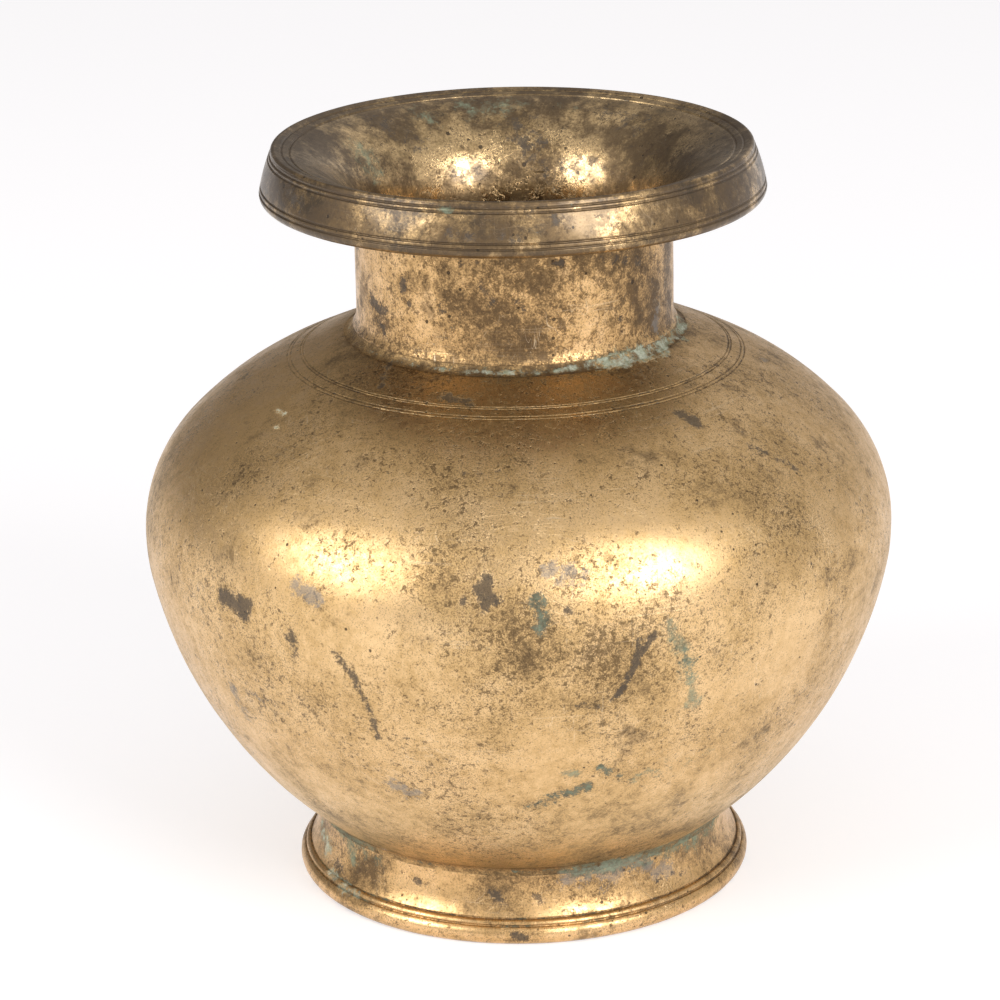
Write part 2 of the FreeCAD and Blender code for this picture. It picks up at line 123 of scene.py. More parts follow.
def refine(points, spots, reach, fine):
    """Adds points to the parts of a closed loop that lie near a turned line."""
    out = []
    n = len(points)
    for k in range(n):
        p, q = points[k], points[(k + 1) % n]
        out.append(p)
        length = math.hypot(q[0] - p[0], q[1] - p[1])
        if length <= fine:
            continue
        m = max(2, int(math.ceil(length / fine)))
        for j in range(1, m):
            s = (p[0] + (q[0] - p[0]) * j / m, p[1] + (q[1] - p[1]) * j / m)
            if any(math.hypot(s[0] - r, s[1] - z) < reach for r, z, _, _ in spots):
                out.append(s)
    return out


def soften(points, radius, angle=24.0):
    """Breaks the sharp corners of a closed loop, as hand finishing does."""
    out = []
    n = len(points)
    for k in range(n):
        a, b, c = points[k - 1], points[k], points[(k + 1) % n]
        u = (b[0] - a[0], b[1] - a[1])
        v = (c[0] - b[0], c[1] - b[1])
        lu, lv = math.hypot(*u), math.hypot(*v)
        if lu < 1e-9 or lv < 1e-9 or b[0] < 1e-6:
            out.append(b)
            continue
        turn = abs(math.degrees(math.atan2(u[0] * v[1] - u[1] * v[0], u[0] * v[0] + u[1] * v[1])))
        if turn < angle:
            out.append(b)
            continue
        d = min(radius, lu * 0.45, lv * 0.45)
        p = (b[0] - u[0] / lu * d, b[1] - u[1] / lu * d)
        q = (b[0] + v[0] / lv * d, b[1] + v[1] / lv * d)
        for t in (0.0, 0.2, 0.4, 0.6, 0.8, 1.0):
            out.append(((1 - t) ** 2 * p[0] + 2 * t * (1 - t) * b[0] + t * t * q[0],
                        (1 - t) ** 2 * p[1] + 2 * t * (1 - t) * b[1] + t * t * q[1]))
    return out


def loop(corners, step, lines=(), corner=0.25, fine=0.11):
    """corners: (r, z, edge).  lines: (r, z, half width, depth)."""
    pts = []
    n = len(corners)
    for k, (r, z, edge) in enumerate(corners):
        q = corners[(k + 1) % n]
        pts += edge_points((r, z), (q[0], q[1]), edge, step)
    if corner:
        pts = soften(pts, corner)
    if lines:
        pts = refine(pts, lines, 1.5 * max(l[2] for l in lines), fine)
    pts = np.array(pts)
    nxt, prv = np.roll(pts, -1, 0), np.roll(pts, 1, 0)
    tang = nxt - prv
    length = np.linalg.norm(tang, axis=1)
    tang /= np.maximum(length, 1e-9)[:, None]
    area = 0.5 * np.sum(pts[:, 0] * nxt[:, 1] - nxt[:, 0] * pts[:, 1])
    sign = 1.0 if area > 0 else -1.0
    normal = np.stack([tang[:, 1], -tang[:, 0]], 1) * sign
    for r, z, half, depth in lines:
        d = np.hypot(pts[:, 0] - r, pts[:, 1] - z)
        cut = depth * np.cos(np.clip(d / half, 0, 1) * math.pi / 2) ** 2
        pts = pts - normal * cut[:, None]
    return pts, normal, sign


def lathe(name, corners, step, around, lines=(), corner=0.25, wobble=0.05, shape=None,
          flush=()):
    """Revolves a closed profile into a watertight mesh object, in metres."""
    pts, normal, sign = loop(corners, step, lines, corner)
    theta = np.arange(around) * 2 * math.pi / around
    ct, st = np.cos(theta), np.sin(theta)
    on_axis = pts[:, 0] < 1e-6
    rings = []
    verts, norms = [], []
    for k in range(len(pts)):
        base = sum(len(v) for v in verts)
        if on_axis[k]:
            verts.append(np.array([[0.0, 0.0, pts[k, 1]]]))
            norms.append(np.array([[0.0, 0.0, normal[k, 1]]]))
            rings.append((base, 1))
        else:
            verts.append(np.stack([pts[k, 0] * ct, pts[k, 0] * st, np.full(around, pts[k, 1])], 1))
            norms.append(np.stack([normal[k, 0] * ct, normal[k, 0] * st,
                                   np.full(around, normal[k, 1])], 1))
            rings.append((base, around))
    co = np.concatenate(verts)
    no = np.concatenate(norms)
    # at a joint dressed flush the wall moves straight in and out, so the faces stay level
    for r, z in flush:
        at = (np.abs(np.hypot(co[:, 0], co[:, 1]) - r) < 0.02) & (np.abs(co[:, 2] - z) < 0.02)
        no[at] = np.stack([co[at, 0] / r, co[at, 1] / r, np.zeros(at.sum())], 1)
    if wobble:
        # hand finishing leaves the wall a few hundredths uneven; only ever inwards
        w = fbm(co, 0.045, 2) + 0.5 * fbm(co, 0.11, 2, 40.0)
        co = co - no * (wobble * (0.5 + w))[:, None] * 1.0
    if shape is not None:
        co = shape(co, no)
    faces = []
    n = len(pts)
    ar = np.arange(around)
    nx = (ar + 1) % around
    for k in range(n):
        (a, na), (b, nb) = rings[k], rings[(k + 1) % n]
        if na == 1 and nb == 1:
            continue
        if na == 1:
            f = np.stack([np.full(around, a), b + nx, b + ar], 1)
        elif nb == 1:
            f = np.stack([a + ar, a + nx, np.full(around, b)], 1)
        else:
            f = np.stack([a + ar, a + nx, b + nx, b + ar], 1)
        if sign < 0:
            f = f[:, ::-1]
        faces.append(f)
    mesh = bpy.data.meshes.new(name)
    quads = [f for f in faces if f.shape[1] == 4]
    tris = [f for f in faces if f.shape[1] == 3]
    loops = np.concatenate([f.reshape(-1) for f in quads + tris]).astype(np.int32)
    sizes = np.concatenate([np.full(len(f), f.shape[1]) for f in quads + tris]).astype(np.int32)
    starts = np.concatenate([[0], np.cumsum(sizes)[:-1]]).astype(np.int32)
    mesh.vertices.add(len(co))
    mesh.vertices.foreach_set("co", (co * MM).astype(np.float32).reshape(-1))
    mesh.loops.add(len(loops))
    mesh.loops.foreach_set("vertex_index", loops)
    mesh.polygons.add(len(sizes))
    mesh.polygons.foreach_set("loop_start", starts)
    mesh.polygons.foreach_set("loop_total", sizes)
    mesh.update(calc_edges=True)
    mesh.validate()
    mesh.polygons.foreach_set("use_smooth", np.ones(len(mesh.polygons), bool))
    mesh.set_sharp_from_angle(angle=math.radians(50))
    obj = bpy.data.objects.new(name, mesh)
    bpy.context.scene.collection.objects.link(obj)
    return obj, co


def paint(obj, **layers):
    """Stores soft masks on the points; the material breaks their edges up."""
    for key, values in layers.items():
        layer = obj.data.attributes.new(key, "FLOAT", "POINT")
        layer.data.foreach_set("value", np.clip(values, 0, 1).astype(np.float32))


# ---------------------------------------------------------------------------
# Sizes in millimetres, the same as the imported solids; checked against them
# ---------------------------------------------------------------------------
WALL = 2.8
BELLY = 95.0
SEAM_TOP, SEAM_BOTTOM = 93.7, 93.2
HAUNCH, HAUNCH_C, HAUNCH_E = 36.767, (58.233, 93.7), (84.9913, 118.9152)
SHOULD, SHOULD_C, SHOULD_E = 78.963, (27.5236, 64.7615), (60.8142, 136.3638)
TOP, TOP_C = 332.2217, (-79.2496, -164.8892)
BILGE, BILGE_C, BILGE_E = 46.399, (48.601, 93.2), (94.0494, 83.8561)
FLANK, FLANK_C = 110.9597, (-14.6371, 106.2013)
SEAT_O, SEAT_I = (54.8, 19.6533), (46.8, 14.6)
BOTTOM = 118.0
NECK_R, BORE_R = 39.85, 36.6
SEAT_Z, SEAT_R = 143.943, 43.2
NECK_TOP, SPIGOT_Z, SPIGOT_R = 174.6, 166.6, 38.1
MOUTH, MOUTH_C = 25.2, (61.8, 166.2)


def inward(c, e, radius):
    k = (radius - WALL) / radius
    return c[0] + (e[0] - c[0]) * k, c[1] + (e[1] - c[1]) * k


def seat(r):
    return SEAT_I[1] + (r - SEAT_I[0]) * (SEAT_O[1] - SEAT_I[1]) / (SEAT_O[0] - SEAT_I[0])


def on_top(r):
    return TOP_C[1] + math.sqrt(TOP ** 2 - (r - TOP_C[0]) ** 2)


def check(node, obj, slack=0.0006):
    lo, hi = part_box(node)
    co = [v.co for v in obj.data.vertices]
    mine_lo = [min(c[i] for c in co) for i in range(3)]
    mine_hi = [max(c[i] for c in co) for i in range(3)]
    for i in range(3):
        if mine_lo[i] < lo[i] - slack or mine_hi[i] > hi[i] + slack:
            raise RuntimeError("%s leaves its solid's box: %s %s against %s %s"
                               % (obj.name, mine_lo, mine_hi, list(lo), list(hi)))
        if mine_lo[i] > lo[i] + 2 * slack or mine_hi[i] < hi[i] - 2 * slack:
            raise RuntimeError("%s is smaller than its solid: %s %s against %s %s"
                               % (obj.name, mine_lo, mine_hi, list(lo), list(hi)))


# ---------------------------------------------------------------------------
# Where the old surface is marked, and where highlights and shade are painted on: (kind,
# points on the surface in mm, radius in mm, strength).  Front is -Y, +X is to the right.
# ---------------------------------------------------------------------------
MARKS = [
    ('dark', [[-71.6, -62.3, 96.1], [-65.3, -68.9, 95.9]], 2.2, 1.0),
    ('dark', [[-67.1, -67.1, 96.8], [-66.0, -68.3, 93.2]], 1.8, 1.0),
    ('grey', [[-52.4, -77.7, 103.5], [-47.8, -81.1, 101.7]], 2.4, 0.9),
    ('dark', [[-54.5, -77.8, 92.5], [-54.2, -77.4, 86.3]], 1.6, 0.8),
    ('grey', [[-70.7, -56.3, 70.4], [-67.6, -54.8, 61.8]], 2.4, 0.7),
    ('grey', [[-64.6, -63.4, 70.8], [-62.7, -64.9, 70.1]], 1.3, 0.7),
    ('dark', [[-43.8, -84.1, 89.7], [-39.8, -85.3, 84.0], [-36.8, -84.6, 76.3],
              [-34.1, -82.3, 66.8]], 0.9, 0.85),
    ('grey', [[-30.9, -76.4, 52.4], [-26.3, -76.5, 49.7]], 3.0, 0.8),
    ('dark', [[-12.9, -92.1, 105.8], [-13.0, -92.4, 104.6]], 0.7, 1.0),
    ('dark', [[-7.9, -90.8, 110.1], [-8.2, -93.2, 104.0]], 1.7, 1.0),
    ('dark', [[-9.6, -91.8, 107.6], [-5.7, -92.9, 105.4]], 1.3, 1.0),
    ('dark', [[10.6, -93.1, 103.5], [10.6, -93.4, 102.3]], 0.5, 1.0),
    ('dark', [[12.2, -93.0, 103.1], [12.3, -93.2, 102.0]], 0.5, 1.0),
    ('verdigris', [[4.1, -93.1, 105.2], [4.9, -94.4, 99.4]], 2.2, 1.0),
    ('grey', [[7.1, -90.1, 111.6], [14.3, -90.0, 110.1]], 3.2, 0.8),
    ('grey', [[9.6, -91.0, 109.4], [12.6, -89.4, 111.7]], 2.6, 0.7),
    ('dark', [[31.7, -89.5, 95.5], [27.7, -90.8, 90.3], [24.3, -90.6, 82.7],
              [21.7, -90.4, 79.3]], 0.65, 0.95),
    ('dark', [[27.8, -90.8, 94.1], [26.1, -90.9, 87.1]], 0.7, 0.8),
    ('green', [[34.8, -88.3, 96.2], [38.6, -86.6, 89.2], [39.5, -84.8, 81.6],
               [40.9, -82.1, 74.5]], 2.4, 0.80),
    ('verdigris', [[38.5, -86.6, 88.4], [39.7, -85.2, 83.5]], 2.2, 0.9),
    ('verdigris', [[1.4, -79.0, 46.7], [7.8, -80.9, 50.4], [15.8, -81.1, 52.7]], 2.0, 1.0),
    ('verdigris', [[18.5, -83.6, 58.6], [19.9, -82.7, 57.6]], 1.6, 1.0),
    ('green', [[10.4, -84.8, 58.2], [12.6, -84.2, 57.6]], 1.5, 1.0),
    ('green', [[24.0, -80.5, 54.0], [44.0, -72.0, 57.0]], 3.0, 0.45),
    ('dark', [[39.2, -48.4, 135.6], [44.0, -49.8, 133.5]], 1.9, 0.85),
    ('dark', [[56.5, -50.0, 127.5], [62.7, -49.0, 124.1], [67.7, -48.3, 120.9]], 1.2, 0.7),
    ('dark', [[-18.5, -48.2, 140.5], [-11.7, -50.7, 140.3]], 2.2, 0.7),
    ('dark', [[-31.1, -30.0, 143.9], [-33.2, -38.9, 140.7]], 0.9, 0.7),
    ('pale', [[-59.2, -31.5, 133.1], [-56.4, -35.8, 133.2]], 0.8, 0.7),
    ('pale', [[-59.3, -38.5, 130.9], [-58.0, -39.9, 131.0]], 0.7, 0.6),
    ('dark', [[-12.6, -71.7, 129.4], [-4.4, -71.8, 130.0]], 0.9, 0.5),
    ('dark', [[-67.3, -60.6, 70.8], [-61.2, -66.7, 70.8]], 1.0, 0.5),
    ('dark', [[13.7, -91.6, 77.8], [16.9, -91.1, 77.8]], 1.2, 0.6),
    ('dark', [[49.0, -44.1, 133.8], [55.1, -47.0, 129.7]], 0.8, 0.4),
    ('dark', [[-29.0, -84.4, 67.1], [-27.0, -85.5, 68.2]], 0.8, 0.5),
    ('dark', [[22.5, -81.0, 55.5], [25.8, -79.3, 54.1]], 1.0, 0.4),
    ('green', [[21.2, -85.2, 63.5], [21.8, -84.4, 62.1]], 0.8, 0.6),
    ('dark', [[30.1, -85.0, 111.9], [33.0, -83.7, 112.2]], 0.6, 0.4),
    # neck
    ('dark', [[-27.2, -29.1, 164.7], [-27.2, -29.1, 162.3]], 1.1, 0.9),
    ('dark', [[-25.9, -30.3, 159.2], [-25.6, -30.5, 159.1]], 0.9, 0.9),
    ('dark', [[-35.2, -18.7, 156.8], [-32.0, -23.7, 155.2]], 1.7, 0.8),
    ('dark', [[-33.6, -21.4, 152.5], [-32.4, -23.1, 150.4]], 1.5, 0.7),
    ('dark', [[-18.1, -35.5, 159.8], [-17.8, -35.7, 158.4]], 1.0, 0.8),
    ('dark', [[-8.3, -39.0, 166.0], [-5.9, -39.4, 161.8]], 1.5, 0.6),
    ('dark', [[10.0, -38.6, 171.3], [11.3, -38.2, 171.1]], 1.2, 0.8),
    ('dark', [[20.8, -34.0, 170.7], [30.5, -25.6, 167.3]], 1.8, 0.5),
    ('brown_and_painted_shade', [[28.7, -27.7, 162.1], [30.5, -25.6, 153.1]], 1.6, 1.0),
    ('brown_and_painted_shade', [[34.5, -19.9, 158.5], [33.6, -21.4, 148.6]], 3.2, 1.0),
    ('grey', [[35.5, -18.2, 152.5], [34.6, -19.8, 149.6]], 3.0, 0.7),
    ('brown_and_painted_shade', [[37.9, -12.3, 168.4], [37.9, -12.3, 148.5]], 3.4, 1.0),
    ('dark', [[0.7, -39.8, 162.3], [2.1, -39.8, 160.2]], 1.3, 0.5),
    ('dark', [[25.6, -30.5, 159.1], [25.9, -30.3, 151.5]], 1.2, 0.5),
    ('dark', [[-13.0, -37.7, 171.4], [-9.3, -38.7, 171.1]], 1.0, 0.6),
    # lip
    ('dark', [[-14.4, -60.1, 184.9], [-10.3, -61.3, 183.7]], 1.6, 0.7),
    ('dark', [[-3.2, -61.9, 184.2], [1.6, -62.3, 183.3]], 1.4, 0.6),
    ('dark', [[-54.9, -26.2, 188.2], [-51.1, -34.5, 185.4]], 3.0, 0.5),
    ('green', [[-17.1, -57.8, 189.9], [-14.6, -58.5, 189.8]], 0.7, 0.9),
    ('dark', [[1.6, -60.4, 189.5], [10.6, -60.3, 186.9]], 3.0, 0.45),
    # inside of the mouth
    ('green', [[-10.8, 48.5, 188.3], [-0.4, 50.8, 188.9]], 4.5, 0.66),
    ('green', [[-38.6, 22.3, 184.6], [-35.6, 20.2, 180.3]], 4.5, 0.78),
    ('green', [[-23.8, 44.8, 188.8], [-20.7, 43.5, 187.4]], 3.0, 0.6),
    ('green', [[12.8, 49.4, 189.0], [17.6, 47.2, 188.7]], 2.0, 0.4),
    ('dark', [[2.0, 44.9, 184.9], [8.2, 37.2, 174.7]], 5.0, 0.6),
    ('dark', [[25.4, 43.1, 188.4], [32.9, 34.1, 186.8]], 4.0, 0.5),
    ('dark', [[-33.8, 37.6, 188.7], [-23.6, 34.4, 181.4]], 5.0, 0.5),
    # foot
    ('pale', [[-52.5, -10.7, 12.5], [-50.0, -20.7, 10.1]], 2.6, 0.75),
    ('pale', [[-50.0, -25.5, 6.2], [-45.7, -33.8, 5.4], [-42.5, -37.6, 5.5]], 1.3, 0.72),
    ('green', [[-44.4, -29.4, 16.2], [-43.4, -31.5, 12.1]], 2.2, 0.9),
    ('green', [[-40.2, -35.0, 15.9], [-37.0, -38.4, 14.6]], 1.6, 0.7),
    ('grey', [[10.6, -52.2, 15.6], [19.1, -49.8, 16.5], [21.7, -48.8, 13.4]], 3.0, 0.8),
    ('green', [[26.6, -46.2, 17.0], [34.3, -40.8, 17.2], [42.3, -32.4, 16.5],
               [48.3, -22.5, 15.4]], 3.0, 0.7),
    ('grey', [[19.1, -49.8, 17.2], [29.0, -44.7, 16.9], [35.6, -40.2, 11.9]], 3.5, 0.8),
    ('green', [[12.4, -51.8, 16.9], [22.1, -48.5, 17.0]], 1.6, 0.8),
    ('dark', [[-27.5, -45.8, 13.4], [-26.4, -46.6, 12.6]], 1.0, 0.9),
    ('dark', [[-7.9, -52.9, 13.0], [-5.6, -53.7, 10.7]], 1.6, 0.8),
    ('dark', [[2.8, -53.7, 11.5], [3.8, -54.1, 10.1]], 1.4, 0.7),
    ('dark', [[-25.2, -47.4, 12.2], [-23.9, -48.0, 12.2]], 0.8, 0.6),
    ('dark', [[-2.5, -58.3, 2.9], [-0.5, -58.5, 2.6]], 1.2, 0.9),
    ('dark', [[34.1, -42.1, 10.0], [44.8, -30.8, 9.6]], 1.8, 0.4),
    ('dark', [[-48.6, -24.8, 9.1], [-45.9, -31.6, 6.6]], 1.6, 0.6),
    # painted highlights: less tarnish where the lamps' highlights and sheen fall on the lip, inside the mouth and
    # on the sides of the neck
    ('painted_highlight', [[16.0, -60.0, 185.5], [40.0, -48.0, 185.0]], 6.0, 0.85),
    ('painted_highlight', [[46.0, -42.0, 185.5], [56.0, -26.0, 186.0]], 4.0, 0.45),
    ('painted_highlight', [[-38.0, -49.0, 186.0], [-20.0, -58.5, 185.0]], 4.0, 0.40),
    ('painted_highlight', [[-14.0, 42.0, 182.0], [-20.0, 36.0, 177.0]], 6.0, 0.60),
    ('painted_highlight', [[14.0, 42.0, 184.0], [30.0, 36.0, 184.0]], 8.0, 0.60),
    ('painted_highlight', [[38.0, 30.0, 187.0], [46.0, 14.0, 186.5]], 5.0, 0.45),
    ('painted_highlight', [[-40.0, 26.0, 187.0], [-46.0, 4.0, 187.0]], 5.0, 0.30),
    ('painted_highlight', [[-29.0, -27.5, 168.0], [-29.0, -27.5, 150.0]], 8.0, 0.45),
    ('painted_highlight', [[18.0, -35.6, 164.0], [19.0, -35.0, 150.0]], 6.0, 0.45),
    # broad brown areas; the two at the front of the neck are partly painted shade, a darker reflection where the
    # neck faces the front
    ('brown_and_painted_shade', [[-18.0, -90.5, 112.0], [-8.0, -93.0, 104.0], [2.0, -94.5, 97.0]], 8.0, 0.95),
    ('brown_and_painted_shade', [[13.0, -93.5, 98.0], [22.0, -92.0, 90.0], [34.0, -88.0, 84.0]], 6.0, 0.42),
    ('brown_and_painted_shade', [[-64.0, -50.0, 122.0], [-40.0, -68.0, 122.0]], 8.0, 0.35),
    ('brown_and_painted_shade', [[-20.0, -70.0, 129.0], [20.0, -72.0, 128.0]], 7.0, 0.35),
    ('brown_and_painted_shade', [[60.0, -50.0, 122.0], [76.0, -40.0, 115.0]], 7.0, 0.4),
    # partly painted shade: the darker reflection down the front of the neck, over real dark speckle
    ('brown_and_painted_shade', [[-2.0, -39.8, 169.0], [4.0, -39.6, 152.0]], 7.5, 1.0),
    ('brown_and_painted_shade', [[-14.0, -37.3, 161.0], [10.0, -38.4, 158.0]], 5.0, 0.8),
    ('brown_and_painted_shade', [[18.0, -35.5, 171.0], [31.0, -25.0, 167.0]], 4.0, 0.8),
    ('brown_and_painted_shade', [[-34.0, -20.8, 154.0], [-31.0, -25.0, 151.0]], 3.5, 0.7),
    ('brown_and_painted_shade', [[33.0, -22.0, 164.0], [37.0, -14.0, 150.0]], 4.5, 0.7),
    ('brown_and_painted_shade', [[-10.0, -53.0, 15.0], [10.0, -53.0, 14.5]], 4.0, 0.55),
    ('brown_and_painted_shade', [[18.0, -50.0, 15.0], [46.0, -26.0, 13.0]], 4.0, 0.7),
    ('brown_and_painted_shade', [[-52.0, -12.0, 14.0], [-38.0, -38.0, 13.0]], 5.0, 0.9),
    ('brown_and_painted_shade', [[46.0, -66.0, 118.0], [66.0, -58.0, 108.0], [72.0, -52.0, 92.0]], 11.0, 0.32),
    ('brown_and_painted_shade', [[-92.5, -15.0, 114.0], [-94.0, -13.0, 95.0], [-92.0, -16.0, 78.0]], 10.0, 0.45),
    ('brown_and_painted_shade', [[40.0, -80.0, 78.0], [56.0, -66.0, 62.0]], 10.0, 0.35),
    ('brown_and_painted_shade', [[-58.0, -62.0, 112.0], [-40.0, -76.0, 110.0]], 7.0, 0.30),
    ('brown_and_painted_shade', [[-40.0, -52.0, 131.0], [0.0, -63.0, 133.5], [38.0, -52.0, 131.5]], 7.0, 0.30),
]


def scattered_marks():
    """The sides and the back, which carry the same kinds of mark at random."""
    rng = np.random.RandomState(911)
    out = []
    for _ in range(46):
        a = rng.uniform(75, 285)            # degrees from the front
        z = rng.uniform(30, 138)
        if z > SEAM_TOP:
            if z < HAUNCH_E[1]:
                r = HAUNCH_C[0] + math.sqrt(HAUNCH ** 2 - (z - HAUNCH_C[1]) ** 2)
            else:
                r = SHOULD_C[0] + math.sqrt(SHOULD ** 2 - (min(z, 136) - SHOULD_C[1]) ** 2)
        else:
            r = FLANK_C[0] + math.sqrt(FLANK ** 2 - (FLANK_C[1] - min(z, 84)) ** 2)
        t = math.radians(a)
        p = [r * math.sin(t), -r * math.cos(t), z]
        t2 = t + rng.normal(0, 0.05)
        q = [r * math.sin(t2), -r * math.cos(t2), z + rng.normal(0, 3.0)]
        kind = ['dark', 'dark', 'grey', 'dark', 'verdigris', 'green'][rng.randint(6)]
        out.append((kind, [p, q], rng.uniform(0.6, 2.4), rng.uniform(0.5, 0.95)))
    return out


MARKS = MARKS + scattered_marks()


def capsule(co, a, b):
    a, b = np.array(a), np.array(b)
    ab = b - a
    t = np.clip(((co - a) @ ab) / max(float(ab @ ab), 1e-9), 0, 1)
    return np.linalg.norm(co - (a + t[:, None] * ab), axis=1)


def window(theta, centre, half, soft):
    """1 within `half` degrees of `centre` (degrees from the front), fading over `soft`."""
    d = np.abs((theta - centre + 180) % 360 - 180)
    return 1 - smooth(d, half - soft, half + soft)


def masks(co, tarnish, warm, edges=(), edge_reach=0.9, grooves=()):
    """Soft masks at points co (mm).  tarnish and warm are numbers or arrays."""
    n = len(co)
    r = np.hypot(co[:, 0], co[:, 1])
    z = co[:, 2]
    theta = np.degrees(np.arctan2(co[:, 0], -co[:, 1]))
    out = {k: np.zeros(n) for k in ("stain", "grey", "green", "pale", "brown_and_painted_shade", "painted_highlight")}
    for kind, pts, rad, strength in MARKS:
        lo = np.min(pts, 0) - 3.5 * rad - 1.5
        hi = np.max(pts, 0) + 3.5 * rad + 1.5
        near = np.where(((co > lo) & (co < hi)).all(1))[0]
        if not len(near):
            continue
        c = co[near]
        d = np.full(len(near), 1e9)
        for a, b in zip(pts[:-1], pts[1:]):
            d = np.minimum(d, capsule(c, a, b))
        soft = strength * (1 - smooth(d, 0.0, 1.9 * rad + 0.5))
        if kind == "verdigris":
            out["stain"][near] = np.maximum(out["stain"][near], 0.75 * soft)
            out["green"][near] = np.maximum(out["green"][near], 0.72 * soft)
            out["brown_and_painted_shade"][near] = np.maximum(out["brown_and_painted_shade"][near], 0.5 * soft)
        else:
            key = {"dark": "stain"}.get(kind, kind)
            if kind in ("dark", "grey"):
                out["brown_and_painted_shade"][near] = np.maximum(out["brown_and_painted_shade"][near], 0.45 * soft)
            out[key][near] = np.maximum(out[key][near], soft)
    # the crust in the corner of neck and shoulder: thin all round, heavy to the right
    heavy = window(theta, 62, 36, 16)
    d = np.hypot(r - 42.0, z - 145.0)
    front = window(theta, 30, 62, 26)
    wide = 0.75 + 0.35 * front + 2.7 * heavy * np.clip(0.65 + 1.5 * fbm(co, 0.12, 2, 5.0), 0.0, 1.3)
    line = 1 - smooth(d, 0.35 * wide, 1.25 * wide)
    out["pale"] = np.maximum(out["pale"], line * (0.34 + 0.26 * front + 0.14 * heavy
                                               + 0.35 * fbm(co, 0.16, 2, 9.0)))
    out["brown_and_painted_shade"] = np.maximum(out["brown_and_painted_shade"], 0.55 * (1 - smooth(d, 1.0, 7.0)))
    out["green"] = np.maximum(out["green"], (1 - smooth(d, 0.2 * wide, 2.0 * wide + 0.6))
                              * (0.24 + 0.14 * front + 0.14 * heavy))
    # stronger green along the middle of the heavy part
    out["green"] = np.maximum(out["green"], 0.9 * window(theta, 38, 14, 8)
                              * (1 - smooth(np.hypot(r - 41.2, z - 146.2), 0.3, 1.6)))
    # the corner of foot and bowl
    right = window(theta, 45, 34, 14)
    left = window(theta, -62, 20, 10)
    d = np.hypot(r - 53.9, z - 18.2)
    wide = 1.0 + 2.6 * right + 1.6 * left
    line = 1 - smooth(d, 0.3 * wide, 1.3 * wide)
    out["green"] = np.maximum(out["green"], line * (0.36 + 0.40 * right + 0.40 * left))
    out["stain"] = np.maximum(out["stain"], (1 - smooth(d, 0.2, 1.6)) * 0.42)
    # the foot's lines hold a little green too
    for rr, zz in ((55.9, 6.4), (57.25, 5.0)):
        d = np.hypot(r - rr, z - zz)
        out["green"] = np.maximum(out["green"], (1 - smooth(d, 0.1, 0.9))
                                  * (0.30 + 0.25 * fbm(co, 0.1, 2, 3.0) + 0.25 * left))
    for rr, zz, s in grooves:
        d = 1 - smooth(np.hypot(r - rr, z - zz), 0.05, 0.42)
        out["brown_and_painted_shade"] = np.maximum(out["brown_and_painted_shade"], s * d)
        out["stain"] = np.maximum(out["stain"], 0.75 * s * d)
    # one mask for rubbed edges and painted highlights, both of which lower the tarnish
    wear_and_painted_highlight = out.pop("painted_highlight")
    for rr, zz, s in edges:
        wear_and_painted_highlight = np.maximum(wear_and_painted_highlight, s * (1 - smooth(np.hypot(r - rr, z - zz), 0.1, edge_reach)))
    out["wear_and_painted_highlight"] = wear_and_painted_highlight
    out["tarnish"] = np.zeros(n) + tarnish
    out["warm"] = np.zeros(n) + warm
    return out


def crusted(base, extra=0.0):
    """Raises the crust and sinks the pits that the masks mark."""
    def shape(co, no):
        m = base(co)
        lump = 0.5 + fbm(co, 0.55, 3, 21.0)
        up = smooth(np.maximum(m["pale"], 0.8 * m["green"]) + 0.5 * (lump - 0.5), 0.45, 0.95)
        down = smooth(m["stain"] + 0.6 * (lump - 0.5), 0.45, 0.9)
        out = co + no * ((0.16 + extra) * up * np.clip(lump, 0, 1.3)
                         - 0.10 * down)[:, None]
        out[:, 2] = np.maximum(out[:, 2], 0.0)
        return out
    return shape


# ---------------------------------------------------------------------------
# The nine pieces
# ---------------------------------------------------------------------------
pieces = []


SEAM = ((BELLY, SEAM_BOTTOM), (BELLY, SEAM_TOP))


def add(node, corners, step, around, lines=(), corner=0.25, wobble=0.05,
        base=None, crust=0.0, slack=0.0008):
    shape = crusted(base, crust)
    obj, co = lathe("pot_" + node, corners, step, around, lines, corner, wobble, shape, SEAM)
    paint(obj, **base(co))
    check(node, obj, slack)
    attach(obj, "root")
    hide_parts(node)
    pieces.append((obj, node))
    return obj


# foot
FOOT_LINES = [(55.9, 6.4, 0.42, 0.12), (57.25, 5.0, 0.42, 0.20)]


def foot_base(co):
    r = np.hypot(co[:, 0], co[:, 1])
    under = smooth(51.5 - r, 0, 1.5) + (co[:, 2] < 0.4)
    return masks(co, 0.49 + 0.3 * np.clip(under, 0, 1), 0.75,
                 [(58.6, 2.7, 0.5)], 1.0,
                 [(55.9, 6.4, 0.9), (57.25, 5.0, 0.9)])


add("foot_ring", [
    (53.3, seat(53.3), None),
    (49.6, seat(49.6), (30.0, 1)),
    (53.0, 1.3, None),
    (53.8, 0.0, None),
    (56.9, 0.0, (2.8, 1)),
    (57.25, 5.0, (1.3, 1)),
    (55.9, 6.4, (17.58, -1)),
    (53.3, 15.6, None),
], 0.55, 480, FOOT_LINES, 0.2, 0.06, foot_base)

add("foot_braze", [
    (53.3, seat(53.3), None),
    (53.3, 16.9, (3.6, -1)),
    (54.6, seat(54.6), None),
], 0.35, 480, (), 0.0, 0.02, lambda co: masks(co, 0.7, 0.5), 0.05)


# lower half of the body
def lower_base(co):
    r, z = np.hypot(co[:, 0], co[:, 1]), co[:, 2]
    outer = FLANK_C[0] + np.sqrt(np.maximum(FLANK ** 2 - (FLANK_C[1] - np.clip(z, 0, 84)) ** 2, 0))
    inside = smooth(outer - r, 0.8, 2.0)
    m = masks(co, 0.36 + 0.30 * inside + 0.16 * (1 - smooth(z, 20, 60)),
              0.40 - 0.40 * (1 - smooth(z, 20, 60)))
    return m


